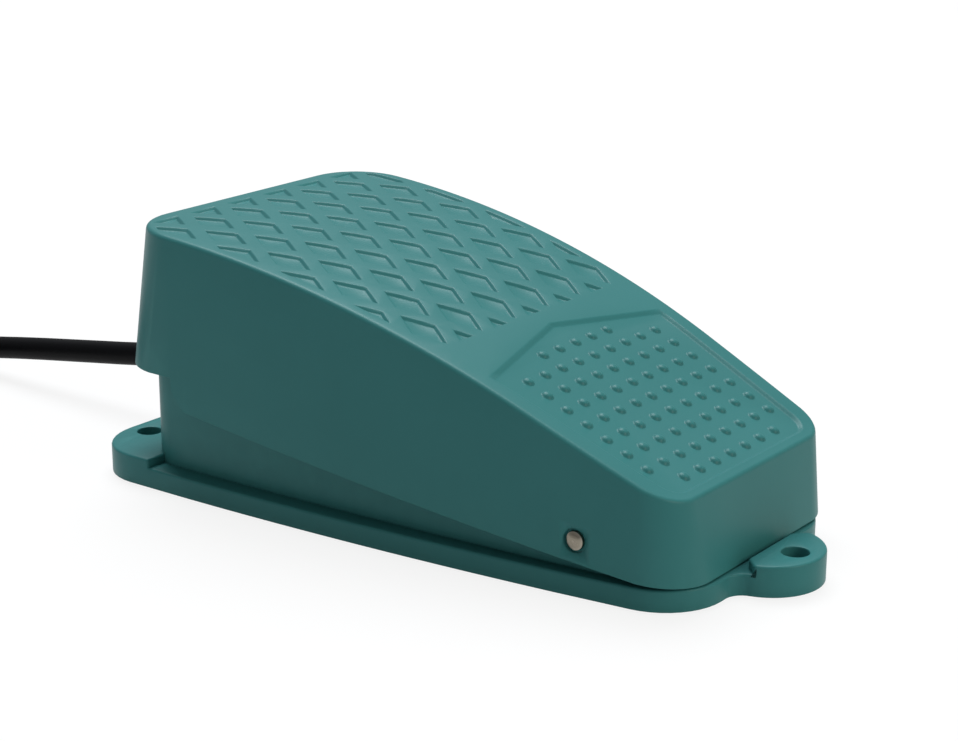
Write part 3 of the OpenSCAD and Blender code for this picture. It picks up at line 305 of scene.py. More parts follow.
# %% Shell sizes in millimetres
FOOT = 0.8
PEDAL_FRONT, PEDAL_REAR = 83.2, -83.8
CREST_Z, CREST_X, CREST_R, SLOPE = FOOT + 73.2, -93.26, 341.996, math.radians(23.798)
SLOPE_X = CREST_X + CREST_R * math.sin(SLOPE)
PEDAL_W, PEDAL_BOW, WIDEST_X = 96.8, 1055.0, -76.285
SIDE_DRAFT, FRONT_DRAFT, REAR_DRAFT, CORNER_TAPER = (math.tan(math.radians(a)) for a in (1.5, 8.2, 8, 9.7))
FRONT_R, REAR_R = 11.0, 17.0
SKIRT_T, TOP_T, EDGE_R = 2.4, 3.2, 1.3
FLANGE_TOP, SKIRT_GAP, SKIRT_RISE = FOOT + 5.6, 0.03, math.tan(math.radians(7.6))
REAR_EDGE_Z, NOTCH_X, NOTCH_BEVEL = FOOT + 34, -66.0, 4.45


def top_z(x, t=0.0):
    """Height of the treadle's top at x, or of a face that lies t under it."""
    if x < SLOPE_X - t * math.sin(SLOPE):
        return CREST_Z - CREST_R + math.sqrt((CREST_R - t) ** 2 - (x - CREST_X) ** 2)
    return CREST_Z - CREST_R + (CREST_R - t) / math.cos(SLOPE) - (x - CREST_X) * math.tan(SLOPE)


LOW_TOP = top_z(PEDAL_FRONT)
SKIRT_FOOT_X = PEDAL_FRONT + (LOW_TOP - FLANGE_TOP) * FRONT_DRAFT


def skirt_z(x):
    """Height of the skirt's lower edge at x."""
    straight = FLANGE_TOP + SKIRT_GAP + (SKIRT_FOOT_X - x) * SKIRT_RISE
    if x < NOTCH_X:
        return REAR_EDGE_Z
    return straight + max(0, NOTCH_BEVEL - (x - NOTCH_X))


print("crest %.1f, low end %.1f, skirt %.1f to %.1f mm"
      % (top_z(PEDAL_REAR), LOW_TOP, skirt_z(PEDAL_FRONT), skirt_z(NOTCH_X + NOTCH_BEVEL)))


# %% [markdown]
# ## Outlines
# Every outline of the shell is the same figure: two straight ends, two bowed
# sides and four round corners. Because the walls lean, a point that lies lower
# also lies further out, so each corner point is found in a few rounds: place,
# height, place again. All loops round the treadle have as many points as this
# one, so quads can bridge them. The hole for the pin gets a wall face of its own.

# %% Outline helper
CORNER_STEPS = 12
PIN_X, PIN_ROOM = 58.2, 4.2
SIDE_XS = [x for x in range(68, -66, -4) if abs(x - PIN_X) > PIN_ROOM + 1]
SIDE_XS += [PIN_X + PIN_ROOM, PIN_X - PIN_ROOM, NOTCH_X + NOTCH_BEVEL, NOTCH_X + 0.01, NOTCH_X - 0.01]
SIDE_XS.sort(reverse=True)


def bow(x, half_width, radius):
    """Half the width at x of a figure whose long sides are bowed."""
    return half_width - radius + math.sqrt(radius ** 2 - (x - WIDEST_X) ** 2)


def corner_circle(end, z):
    """Centre and radius of the treadle's corner at its low end (1) or high end (-1), at height z."""
    if end > 0:
        x_end, r = PEDAL_FRONT + (LOW_TOP - z) * FRONT_DRAFT, FRONT_R + (LOW_TOP - z) * CORNER_TAPER
    else:
        x_end, r = PEDAL_REAR - (CREST_Z - z) * REAR_DRAFT, REAR_R
    xc = x_end - end * r
    return xc, bow(xc, PEDAL_W / 2 + (CREST_Z - z) * SIDE_DRAFT - r, PEDAL_BOW - r), r


def corner_point(end, share):
    """A point of the corner on the top face; share runs from the low-end side of the corner."""
    z = LOW_TOP if end > 0 else CREST_Z
    for _ in range(8):
        xc, yc, r = corner_circle(end, z)
        tilt = math.pi / 2 - (xc - WIDEST_X) / PEDAL_BOW
        a = tilt * share if end > 0 else tilt + (math.pi - tilt) * share
        x = xc + r * math.cos(a)
        z = top_z(x)
    return Vector((x, yc + r * math.sin(a), z))


def top_outline():
    """The edge of the treadle's top, anticlockwise from the middle of the low end."""
    steps = [k / CORNER_STEPS for k in range(CORNER_STEPS + 1)]
    half = [corner_point(1, share) for share in steps]
    half += [Vector((x, bow(x, PEDAL_W / 2 + (CREST_Z - top_z(x)) * SIDE_DRAFT, PEDAL_BOW), top_z(x)))
             for x in SIDE_XS]
    half += [corner_point(-1, share) for share in steps]
    first, last = half[0], half[-1]
    half = [Vector((first.x, first.y / 2, first.z))] + half + [Vector((last.x, last.y / 2, last.z))]
    ends = Vector((first.x, 0, first.z)), Vector((last.x, 0, last.z))
    return [ends[0]] + half + [ends[1]] + [Vector((p.x, -p.y, p.z)) for p in reversed(half)]


def loop_of(bm, points):
    """New vertices joined by edges in a closed loop."""
    verts = [bm.verts.new(p) for p in points]
    edges = [bm.edges.new((a, b)) for a, b in zip(verts, verts[1:] + verts[:1])]
    return verts, edges


def bridged(bm, lower, upper):
    """Quads between two loops that have as many points."""
    n = len(lower)
    for k in range(n):
        bm.faces.new((lower[k], lower[(k + 1) % n], upper[(k + 1) % n], upper[k]))


print("points round the treadle:", len(top_outline()))

# %% [markdown]
# ## The tread
# On the real treadle the mould's face carries raised studs in a sunken five-sided
# panel and rows of shallow diamond pockets. I draw the pockets flat, as faces in
# a mesh of their own, trim them with bisect_plane where they meet the margin,
# and take their corner points. Later each becomes a hole in the top face that
# inset_individual steps down, so that its walls slope and its edges are soft.

# %% Flat outlines of the pockets
DIAMOND_X0, PITCH_X, PITCH_Y = -31.9, 21.94, 14.44
DIAMOND_L, DIAMOND_W, MARGIN = 15.8, 9.9, 3.4
TREAD_REAR, TREAD_FRONT = PEDAL_REAR + 4.6, 17.0
flat = bmesh.new()
for i in range(-5, 5):
    for j in range(-8, 9):
        if (i + j) % 2:
            continue
        x, y = DIAMOND_X0 + i * PITCH_X / 2, j * PITCH_Y / 2
        flat.faces.new([flat.verts.new(p) for p in (
            (x, y, 0), (x + DIAMOND_L / 2, y - DIAMOND_W / 2, 0), (x + DIAMOND_L, y, 0),
            (x + DIAMOND_L / 2, y + DIAMOND_W / 2, 0))])


def trim(bm, at, outward, keep=None):
    """Cuts away what lies beyond a plane, of all faces or of those given."""
    faces = list(bm.faces) if keep is None else keep
    geom = list({v for f in faces for v in f.verts}) + list({e for f in faces for e in f.edges}) + faces
    bmesh.ops.bisect_plane(bm, geom=geom, dist=1e-4, plane_co=at, plane_no=outward, clear_outer=True)


trim(flat, (TREAD_REAR, 0, 0), (-1, 0, 0))
trim(flat, (TREAD_FRONT, 0, 0), (1, 0, 0))
for face in list(flat.faces):
    c = face.calc_center_median()
    sign = 1 if c.y > 0 else -1
    edge_y = bow(c.x, PEDAL_W / 2 - MARGIN, PEDAL_BOW)
    slope = -(c.x - WIDEST_X) / PEDAL_BOW
    if max(abs(v.co.y) for v in face.verts) > edge_y - 1:
        trim(flat, (c.x, sign * edge_y, 0), (-slope, sign, 0), [face])
loose = [v for v in flat.verts if not v.link_faces]
bmesh.ops.delete(flat, geom=loose, context="VERTS")
pockets = []
for face in flat.faces:
    if face.calc_area() > 6:
        pockets.append([v.co.copy() for v in face.verts])
flat.free()
print("pockets:", len(pockets))

# %% Flat outline of the studded panel
APEX_X, SHOULDER_X, PANEL_FRONT, PANEL_R, PANEL_MARGIN = 21.5, 30.5, PEDAL_FRONT - 2.4, 6.0, 4.4
shoulder_y = bow(SHOULDER_X, PEDAL_W / 2, PEDAL_BOW) - PANEL_MARGIN
front_y = bow(PANEL_FRONT - PANEL_R, PEDAL_W / 2, PEDAL_BOW) - PANEL_MARGIN
panel = [Vector((APEX_X, 0, 0)), Vector((SHOULDER_X, -shoulder_y, 0))]
for sign in (-1, 1):
    for k in range(7):
        a = math.radians(-86 + 86 * k / 6) if sign < 0 else math.radians(86 * k / 6)
        panel.append(Vector((PANEL_FRONT - PANEL_R + PANEL_R * math.cos(a),
                             sign * (front_y - PANEL_R) + PANEL_R * math.sin(a), 0)))
panel.append(Vector((SHOULDER_X, shoulder_y, 0)))
print("panel points:", len(panel))

# %% [markdown]
# ## The treadle
# The top is filled round the pockets with triangle_fill, while it is still flat.
# Insets step the pockets and the panel down. Cuts across the face every few
# millimetres then let it bend: each vertex moves up to the height of the crest
# curve, less its own depth. The rounded rim, the walls and the inner skin are
# loops that are bridged from the top down.

# %% Flat top with sunk pockets
treadle = bmesh.new()
rim_points = top_outline()


def plan_normal(points, k):
    """Outward direction of a closed outline at a point, in plan."""
    a, b = points[k - 1], points[(k + 1) % len(points)]
    along = Vector((b.x - a.x, b.y - a.y, 0)).normalized()
    return Vector((along.y, -along.x, 0))


outward = [plan_normal(rim_points, k) for k in range(len(rim_points))]
inner_rim = [p - n * EDGE_R for p, n in zip(rim_points, outward)]
rim_verts, rim_edges = loop_of(treadle, [Vector((p.x, p.y, 0)) for p in inner_rim])
hole_loops = [loop_of(treadle, points) for points in pockets]
panel_verts, panel_edges = loop_of(treadle, panel)
fill_edges = rim_edges + panel_edges + [e for _, edges in hole_loops for e in edges]
bmesh.ops.triangle_fill(treadle, edges=fill_edges, use_beauty=True, normal=(0, 0, 1))
sunk = [treadle.faces.new(verts) for verts, _ in hole_loops]
panel_face = treadle.faces.new(panel_verts)
bmesh.ops.recalc_face_normals(treadle, faces=treadle.faces)
if panel_face.normal.z < 0:
    bmesh.ops.reverse_faces(treadle, faces=treadle.faces)
TREAD_DEPTH = 0.8
STEPS = ((0.14, 0.03), (0.20, 0.13), (0.34, 0.42), (0.20, 0.17), (0.14, 0.05))
for run, drop in STEPS:
    bmesh.ops.inset_individual(treadle, faces=sunk, thickness=run, depth=-drop, use_even_offset=True)
    bmesh.ops.inset_individual(treadle, faces=[panel_face], thickness=run * 1.5, depth=-drop,
                               use_even_offset=True)
print("flat top faces:", len(treadle.faces))

# %% Bend the top over the crest
bmesh.ops.triangulate(treadle, faces=[f for f in treadle.faces if len(f.verts) > 4])
x = PEDAL_REAR + 2
while x < SLOPE_X + 1:
    bmesh.ops.bisect_plane(treadle, geom=treadle.verts[:] + treadle.edges[:] + treadle.faces[:],
                           dist=1e-4, plane_co=(x, 0, 0), plane_no=(1, 0, 0))
    x += 4
for v in treadle.verts:
    v.co.z = top_z(v.co.x, -v.co.z)
print("bent top faces:", len(treadle.faces))

# %% Rounded rim, walls and inner skin
RIM_STEPS = 5


def place_key(p):
    """One number for a place in millimetres, to sort mesh parts the same way each run."""
    return round(p.x, 3) * 1e7 + round(p.y, 3) * 1e2 + round(p.z, 3) * 1e-2


def ordered_boundary(bm):
    """The open edge loop of a mesh, in order."""
    edges = {e for e in bm.edges if e.is_boundary}
    start = min(edges, key=lambda e: place_key((e.verts[0].co + e.verts[1].co) / 2))
    first, v = start.verts
    order = [first]
    edges.remove(start)
    while v is not first:
        order.append(v)
        e = next(e for e in v.link_edges if e in edges)
        edges.remove(e)
        v = e.other_vert(v)
    return order


boundary = ordered_boundary(treadle)
turning = sum(a.co.x * b.co.y - b.co.x * a.co.y for a, b in zip(boundary, boundary[1:] + boundary[:1]))
if turning < 0:
    boundary.reverse()


def outward_at(p):
    """Outward direction of the treadle's outline next to a point of the top, in plan."""
    side, reach = (1 if p.y > 0 else -1), abs(p.y)
    for end in (1, -1):
        xc, yc, r = corner_circle(end, p.z)
        if end * (p.x - xc - (r - EDGE_R) * (xc - WIDEST_X) / PEDAL_BOW) > 0:
            return Vector((p.x - xc, side * max(0, reach - yc), 0)).normalized()
    return Vector((p.x - WIDEST_X, side * (reach - PEDAL_W / 2 + PEDAL_BOW), 0)).normalized()


edge_dirs = [outward_at(v.co) for v in boundary]


def wall_point(p, out, depth, sideways):
    """A point of the leaning wall at a depth under the top edge."""
    return Vector((p.x, p.y, 0)) + out * sideways + Vector((0, 0, p.z - depth))


loops = [boundary]
for k in range(1, RIM_STEPS + 1):
    a = math.pi / 2 * k / RIM_STEPS
    points = [wall_point(v.co, n, EDGE_R * (1 - math.cos(a)), EDGE_R * math.sin(a))
              for v, n in zip(boundary, edge_dirs)]
    loops.append([treadle.verts.new(p) for p in points])


def lean_at(p, n):
    """How far the wall at a rim point moves out in x and y for each millimetre down."""
    side = 1 if p.y > 0 else -1
    if n.x > 0.16:
        across = SIDE_DRAFT - CORNER_TAPER * (1 - abs(n.y))
        if abs(n.y) < 0.01:
            across *= abs(p.y) / corner_circle(1, p.z)[1]
        return FRONT_DRAFT - CORNER_TAPER * (1 - n.x), side * across
    if n.x < -0.01:
        return -REAR_DRAFT, side * SIDE_DRAFT if abs(n.y) > 0.01 else 0
    return 0, side * SIDE_DRAFT


def at_height(v, n, z, inset=0.0):
    """The wall's point under a rim vertex, at height z."""
    dx, dy = lean_at(v.co, n)
    down = v.co.z - z
    return Vector((v.co.x + dx * down - n.x * inset, v.co.y + dy * down - n.y * inset, z))


edge_loop = loops[-1]
foot, foot_in, mid_in = [], [], []
for v, n in zip(edge_loop, edge_dirs):
    low = skirt_z(v.co.x)
    foot.append(at_height(v, n, low))
    foot_in.append(at_height(v, n, low, SKIRT_T))
    mid_in.append(at_height(v, n, top_z(max(v.co.x, PEDAL_REAR)) - TOP_T, SKIRT_T))
SOFT, PIN_BAND = 0.08, 10
soft_out = [at_height(v, n, skirt_z(v.co.x) + SOFT) for v, n in zip(edge_loop, edge_dirs)]
soft_low = [at_height(v, n, skirt_z(v.co.x), SOFT) for v, n in zip(edge_loop, edge_dirs)]
above_pin = [at_height(v, n, skirt_z(v.co.x) + PIN_BAND) for v, n in zip(edge_loop, edge_dirs)]
for points in (above_pin, soft_out, soft_low, foot_in, mid_in):
    loops.append([treadle.verts.new(p) for p in points])
for upper, lower in zip(loops, loops[1:]):
    bridged(treadle, lower, upper)
inner = loops[-1]
lid_edges = [treadle.edges.get((a, b)) for a, b in zip(inner, inner[1:] + inner[:1])]
bmesh.ops.triangle_fill(treadle, edges=lid_edges, use_beauty=True, normal=(0, 0, -1))
bmesh.ops.recalc_face_normals(treadle, faces=treadle.faces)
print("treadle faces:", len(treadle.faces), "open edges:", sum(e.is_boundary for e in treadle.edges))


# %% Helper: turn a mesh in millimetres into a piece
def piece_of(bm, name, material, angle=35):
    """Makes an object of a bmesh in millimetres, with smooth shading up to an angle."""
    bmesh.ops.transform(bm, matrix=Matrix.Scale(MM, 4), verts=bm.verts)
    mesh = bpy.data.meshes.new(name)
    bm.to_mesh(mesh)
    bm.free()
    for polygon in mesh.polygons:
        polygon.use_smooth = True
    mesh.set_sharp_from_angle(angle=math.radians(angle))
    mesh.materials.append(material)
    piece = bpy.data.objects.new(name, mesh)
    bpy.context.scene.collection.objects.link(piece)
    return piece


def rod(bm, start, end, radius, sides=40):
    """A closed cylinder between two points, in millimetres."""
    start, end = Vector(start), Vector(end)
    turn = (end - start).to_track_quat("Z", "Y").to_matrix().to_4x4()
    made = bmesh.ops.create_cone(bm, cap_ends=True, segments=sides, radius1=radius, radius2=radius,
                                 depth=(end - start).length,
                                 matrix=Matrix.Translation((start + end) / 2) @ turn)
    return made["verts"]


def baked(piece):
    """Applies the piece's modifiers to its mesh."""
    bpy.context.view_layer.update()
    graph = bpy.context.evaluated_depsgraph_get()
    mesh = bpy.data.meshes.new_from_object(piece.evaluated_get(graph), depsgraph=graph)
    old = piece.data
    piece.modifiers.clear()
    piece.data = mesh
    bpy.data.meshes.remove(old)
    return piece


def cut(piece, tools):
    """Cuts throw-away tool meshes out of a piece."""
    for tool in tools:
        step = piece.modifiers.new("cut", "BOOLEAN")
        step.operation, step.solver, step.object = "DIFFERENCE", "EXACT", tool
    baked(piece)
    for tool in tools:
        bpy.data.meshes.remove(tool.data)
    return piece


# %% Pin holes through the skirt
PIN_Z, PIN_D, PIN_Y, PIN_FACE = FOOT + 15, 4.7, 41.317, 36.36
treadle_piece = piece_of(treadle, "treadle_shell", shell_green)
drill = bmesh.new()
rod(drill, (PIN_X, -60, PIN_Z), (PIN_X, 60, PIN_Z), PIN_D / 2 + 0.05)
sinks = bmesh.new()
for sign in (-1, 1):
    rod(sinks, (PIN_X, sign * (PIN_Y - 0.8), PIN_Z), (PIN_X, sign * 60, PIN_Z), PIN_D / 2 + 0.8, 48)
cut(treadle_piece, [piece_of(drill, "drill", shell_green), piece_of(sinks, "sinks", shell_green)])
print("treadle after drilling:", len(treadle_piece.data.polygons), "faces")

# %% [markdown]
# ## Studs
# Each stud is a low dome with a soft foot. I spin one small profile into a dome
# with bmesh, then place copies square to the sloping panel. The rows number
# seven at the low end, then nine, and five under the panel's point.

# %% Studs
DOT_X, DOT_PITCH_X, DOT_PITCH_Y = PEDAL_FRONT - 7.2, 5.78, 7.2
DOT_ROWS = (7, 9, 9, 9, 9, 9, 9, 9, 5)
DOME = ((1.85, -0.05), (1.62, 0.05), (1.42, 0.26), (1.18, 0.52), (0.80, 0.73), (0.38, 0.81), (0, 0.83))
studs = bmesh.new()
for row, count in enumerate(DOT_ROWS):
    x = DOT_X - row * DOT_PITCH_X
    tilt = SLOPE if x > SLOPE_X else math.asin((x - CREST_X) / CREST_R)
    for k in range(count):
        at = Vector((x, (k - (count - 1) / 2) * DOT_PITCH_Y, top_z(x, TREAD_DEPTH)))
        earlier = set(studs.verts)
        made = [studs.verts.new((r, 0, z)) for r, z in DOME]
        line = [studs.edges.new(pair) for pair in zip(made, made[1:])]
        bmesh.ops.spin(studs, geom=made + line, cent=(0, 0, 0), axis=(0, 0, 1), angle=2 * math.pi,
                       steps=14, use_merge=True)
        bmesh.ops.transform(studs, matrix=Matrix.Translation(at) @ Matrix.Rotation(tilt, 4, "Y"),
                            verts=[v for v in studs.verts if v not in earlier])
bmesh.ops.remove_doubles(studs, verts=studs.verts, dist=1e-4)
bmesh.ops.recalc_face_normals(studs, faces=studs.faces)
if max(studs.faces, key=lambda f: f.calc_center_median().z).normal.z < 0:
    bmesh.ops.reverse_faces(studs, faces=studs.faces)
stud_piece = piece_of(studs, "treadle_studs", shell_green, angle=60)
for piece in (treadle_piece, stud_piece):
    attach(piece, "pedal")
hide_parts("pedal_cover")
print("studs:", sum(DOT_ROWS))

# %% [markdown]
# ## The base
# The base is a flat flange with a thicker ledge for two screws at the high end
# and a round ear for one at the low end, and an upstanding wall that the treadle
# closes over. The plan is cut along the steps and its parts are extruded to
# their own heights. Booleans drill it, and bmesh's bevel rounds its upper edges.

# %% Plan outlines of the base
HALF_LEN, FLANGE_W, FLANGE_BOW = 102.0, 94.8, 1200.0
FLANGE_FRONT = HALF_LEN - 14.8
EAR_R, EAR_FILLET = 14.6, 5.0
EAR_X = HALF_LEN - EAR_R
EAR_TOP, FLOOR_Z = FOOT + 8, FOOT + 3
LEDGE_X = -HALF_LEN + 24


def plan_ring(x0, x1, width, radius, r0, r1, steps=10, side=30):
    """A closed plan outline with bowed sides and round corners, anticlockwise from the low end."""
    yc = width / 2 - radius
    xa, xb = x1 - r1, x0 + r0
    ya = yc + math.sqrt((radius - r1) ** 2 - (xa - WIDEST_X) ** 2)
    yb = yc + math.sqrt((radius - r0) ** 2 - (xb - WIDEST_X) ** 2)
    a, b = math.atan2(ya - yc, xa - WIDEST_X), math.atan2(yb - yc, xb - WIDEST_X)
    turn_1 = [a * k / steps for k in range(steps + 1)]
    turn_side = [a + (b - a) * k / side for k in range(1, side)]
    turn_0 = [b + (math.pi - b) * k / steps for k in range(steps + 1)]
    half = [(xa + r1 * math.cos(t), ya + r1 * math.sin(t)) for t in turn_1]
    half += [(WIDEST_X + radius * math.cos(t), yc + radius * math.sin(t)) for t in turn_side]
    half += [(xb + r0 * math.cos(t), yb + r0 * math.sin(t)) for t in turn_0]
    return half + [(x, -y) for x, y in reversed(half)]


def grow(bm, faces, height):
    """Extrudes faces upward as one region and returns the new upper faces."""
    grown = bmesh.ops.extrude_face_region(bm, geom=faces)["geom"]
    bmesh.ops.translate(bm, vec=(0, 0, height), verts=[g for g in grown if isinstance(g, bmesh.types.BMVert)])
    return [g for g in grown if isinstance(g, bmesh.types.BMFace)]


def slab(points, z0, z1):
    """A closed slab over a plan outline."""
    bm = bmesh.new()
    face = bm.faces.new([bm.verts.new((x, y, z0)) for x, y in points])
    grow(bm, [face], z1 - z0)
    bmesh.ops.recalc_face_normals(bm, faces=bm.faces)
    return bm


flange_ring = plan_ring(-HALF_LEN, FLANGE_FRONT, FLANGE_W, FLANGE_BOW, 17, 17)
fillet_x = FLANGE_FRONT + EAR_FILLET
fillet_y = math.sqrt((EAR_R + EAR_FILLET) ** 2 - (fillet_x - EAR_X) ** 2)
touch = math.atan2(fillet_y, fillet_x - EAR_X)
ear_half = [(EAR_X + EAR_R * math.cos(touch * k / 14), EAR_R * math.sin(touch * k / 14)) for k in range(15)]
swing = [math.pi + touch + (-touch) * k / 8 for k in range(1, 9)]
hollow = [(fillet_x + EAR_FILLET * math.cos(a), fillet_y + EAR_FILLET * math.sin(a)) for a in swing]
ear_side = ear_half + hollow
low_half = ear_side + [p for p in flange_ring[:len(flange_ring) // 2]]
base_outline = low_half + [(x, -y) for x, y in reversed(low_half)][:-1]
print("ear touches its fillet at", [round(c, 1) for c in ear_half[-1]], "outline points", len(base_outline))

# %% The flange with its ledge, ear and holes
STEP_X, STEP_Y = FLANGE_FRONT + 1, 0.72 * EAR_R
stepped = bmesh.new()
stepped.faces.new([stepped.verts.new((x, y, FOOT)) for x, y in base_outline])
for at, across in (((LEDGE_X, 0, 0), (1, 0, 0)), ((STEP_X, 0, 0), (1, 0, 0)),
                   ((STEP_X, STEP_Y, 0), (-1, 1, 0)), ((STEP_X, -STEP_Y, 0), (-1, -1, 0))):
    bmesh.ops.bisect_plane(stepped, geom=stepped.verts[:] + stepped.edges[:] + stepped.faces[:], dist=1e-4,
                           plane_co=at, plane_no=across)


def raised(face):
    """Whether a face of the plan belongs to the ledge or the ear."""
    c = face.calc_center_median()
    return c.x < LEDGE_X or (c.x > STEP_X and abs(c.y) - STEP_Y < c.x - STEP_X)


upper = grow(stepped, list(stepped.faces), FLANGE_TOP - FOOT)
grow(stepped, [f for f in upper if raised(f)], EAR_TOP - FLANGE_TOP)
left_inside = [f for f in upper if f.is_valid and raised(f) and f.calc_center_median().z < EAR_TOP - 1]
bmesh.ops.delete(stepped, geom=left_inside, context="FACES")
bmesh.ops.recalc_face_normals(stepped, faces=stepped.faces)
print("plate open edges:", sum(e.is_boundary for e in stepped.edges))
plate = piece_of(stepped, "base_shell", shell_green)
holes = bmesh.new()
HOLES, HOLE_R = ((95.2, 0), (-95.2, 29.3), (-95.2, -29.3)), 3.5
for x, y in HOLES:
    rod(holes, (x, y, -5), (x, y, 20), HOLE_R, 48)
UPSTAND = dict(x0=PEDAL_REAR + 0.3, x1=PEDAL_FRONT - 13, width=83.2, radius=1590.0, r0=9, r1=9)
UPSTAND_T, UPSTAND_LAP = 2.4, 7.0
inside = dict(x0=UPSTAND["x0"] + UPSTAND_T, x1=UPSTAND["x1"] - UPSTAND_T,
              width=UPSTAND["width"] - 2 * UPSTAND_T, radius=UPSTAND["radius"] - UPSTAND_T,
              r0=UPSTAND["r0"] - UPSTAND_T, r1=UPSTAND["r1"] - UPSTAND_T)
well = slab(plan_ring(**inside), FLOOR_Z, 30)
cut(plate, [piece_of(holes, "holes", shell_green), piece_of(well, "well", shell_green)])
print("flange before rounding:", len(plate.data.polygons))

# %% Round the flange's upper edges
shaped = bmesh.new()
shaped.from_mesh(plate.data)
bmesh.ops.scale(shaped, vec=(1 / MM,) * 3, verts=shaped.verts)
bmesh.ops.remove_doubles(shaped, verts=shaped.verts, dist=1e-3)
shaped.verts.sort(key=lambda v: place_key(v.co))
shaped.edges.sort(key=lambda e: place_key((e.verts[0].co + e.verts[1].co) / 2))
shaped.faces.sort(key=lambda f: place_key(f.calc_center_median()))
bmesh.ops.dissolve_limit(shaped, angle_limit=math.radians(1), verts=shaped.verts[:], edges=shaped.edges[:])
bmesh.ops.recalc_face_normals(shaped, faces=shaped.faces)


def near_hole(edge):
    """Whether an edge lies on the rim of a mounting hole."""
    return any(all(math.hypot(v.co.x - x, v.co.y - y) < HOLE_R + 0.2 for v in edge.verts) for x, y in HOLES)


def upper_edges(bm, holes):
    """Convex edges of the upper faces, on the rims of the holes or elsewhere."""
    found = []
    for e in bm.edges:
        if min(v.co.z for v in e.verts) < FLANGE_TOP - 0.01 or near_hole(e) != holes or not e.is_manifold:
            continue
        if e.is_convex and e.calc_face_angle() > math.radians(40):
            found.append(e)
    return found


print("upper edges:", len(upper_edges(shaped, False)), "rims:", len(upper_edges(shaped, True)))
for at_holes, offset, segments in ((False, 0.7, 4), (True, 0.35, 3)):
    bmesh.ops.bevel(shaped, geom=upper_edges(shaped, at_holes), offset=offset, offset_type="OFFSET",
                    segments=segments, profile=0.5, affect="EDGES", clamp_overlap=False)
bpy.data.meshes.remove(plate.data)
plate = piece_of(shaped, "base_shell", shell_green)
print("flange faces:", len(plate.data.polygons))

# %% [markdown]
# ## The upstanding wall
# The wall is a ring of even thickness whose top edge slopes with the treadle's
# skirt. It is a slab less its inside, cut off by a slanting plane.

# %% Upstanding wall, posts and bosses
wall = piece_of(slab(plan_ring(**UPSTAND), FLANGE_TOP - 1, 60), "base_wall", shell_green)
hollow_bm = slab(plan_ring(**inside), FLANGE_TOP - 3, 70)
port = bmesh.new()
rod(port, (-95, 0, 19.6), (-75, 0, 19.6), 5.55, 40)
cut(wall, [piece_of(hollow_bm, "wall_inside", shell_green), piece_of(port, "port", shell_green)])
trimmed = bmesh.new()
trimmed.from_mesh(wall.data)
bmesh.ops.scale(trimmed, vec=(1 / MM,) * 3, verts=trimmed.verts)
skirt_0 = FLANGE_TOP + SKIRT_GAP + SKIRT_FOOT_X * SKIRT_RISE + UPSTAND_LAP
bmesh.ops.bisect_plane(trimmed, geom=trimmed.verts[:] + trimmed.edges[:] + trimmed.faces[:], dist=1e-4,
                       plane_co=(0, 0, skirt_0), plane_no=(SKIRT_RISE, 0, 1), clear_outer=True)
bmesh.ops.triangle_fill(trimmed, edges=[e for e in trimmed.edges if e.is_boundary], normal=(0, 0, 1))
END_SLOPE = math.radians(50)
bmesh.ops.bisect_plane(trimmed, geom=trimmed.verts[:] + trimmed.edges[:] + trimmed.faces[:], dist=1e-4,
                       plane_co=(UPSTAND["x0"], 0, FOOT + 27), clear_outer=True,
                       plane_no=(-math.sin(END_SLOPE), 0, math.cos(END_SLOPE)))
bmesh.ops.triangle_fill(trimmed, edges=[e for e in trimmed.edges if e.is_boundary], normal=(0, 0, 1))
STOP_X, SPRING_X, SPRING_SIDE, SPRING_LOW = -66.8, -3.2, 26, 12.8
POSTS = ((STOP_X, 6.0, FOOT + 22), (SPRING_X, 8.5, SPRING_LOW), (SPRING_X, 4.7, SPRING_LOW + 5))
for s in (-1, 1):
    for x, r, z in POSTS:
        rod(trimmed, (x, s * SPRING_SIDE, FLOOR_Z - 1), (x, s * SPRING_SIDE, z), r, 32)
for s in (-1, 1):
    rod(trimmed, (PIN_X, s * 28.9, PIN_Z), (PIN_X, s * PIN_FACE, PIN_Z), 5.5, 40)
bmesh.ops.recalc_face_normals(trimmed, faces=trimmed.faces)
bpy.data.meshes.remove(wall.data)
wall = piece_of(trimmed, "base_wall_and_posts", shell_green)
for piece in (plate, wall):
    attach(piece, "base")
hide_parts("base_tray")
print("wall faces:", len(wall.data.polygons))

# %% [markdown]
# ## Strain relief
# A moulded rubber sleeve grips the cable where it leaves the wall. Its profile is
# a taper with shallow grooves, so that it bends a little at a time, and it is
# spun round the cable's line.

# %% Strain relief
RELIEF_Z, RELIEF_TIP, WALL_OUT = 19.6, -115.0, UPSTAND["x0"]
WALL_IN = WALL_OUT + UPSTAND_T
outer = [(WALL_OUT - 1.2, 6.5), (WALL_OUT - 1.5, 6.2), (WALL_OUT - 1.5, 6.0)]
for k in range(6):
    x = WALL_OUT - 4.4 - 4.3 * k
    r = 6.0 - 1.6 * (WALL_OUT - 1.5 - x) / 30
    outer += [(x, r), (x - 0.4, r - 0.75), (x - 1.5, r - 0.8), (x - 1.9, r - 0.08)]
outer += [(RELIEF_TIP + 0.6, 4.45), (RELIEF_TIP, 4.0)]
line = [(RELIEF_TIP, 3.6)] + outer[::-1] + [(WALL_OUT, 6.5), (WALL_OUT, 5.5), (WALL_IN, 5.5), (WALL_IN, 6.5),
                                            (WALL_IN + 1.2, 6.5), (WALL_IN + 1.5, 6.2), (WALL_IN + 1.5, 3.6)]
sleeve = bmesh.new()
verts = [sleeve.verts.new((x, 0, RELIEF_Z + r)) for x, r in line]
edges = [sleeve.edges.new(pair) for pair in zip(verts, verts[1:] + verts[:1])]
bmesh.ops.spin(sleeve, geom=verts + edges, cent=(0, 0, RELIEF_Z), axis=(1, 0, 0), angle=2 * math.pi,
               steps=48, use_merge=True)
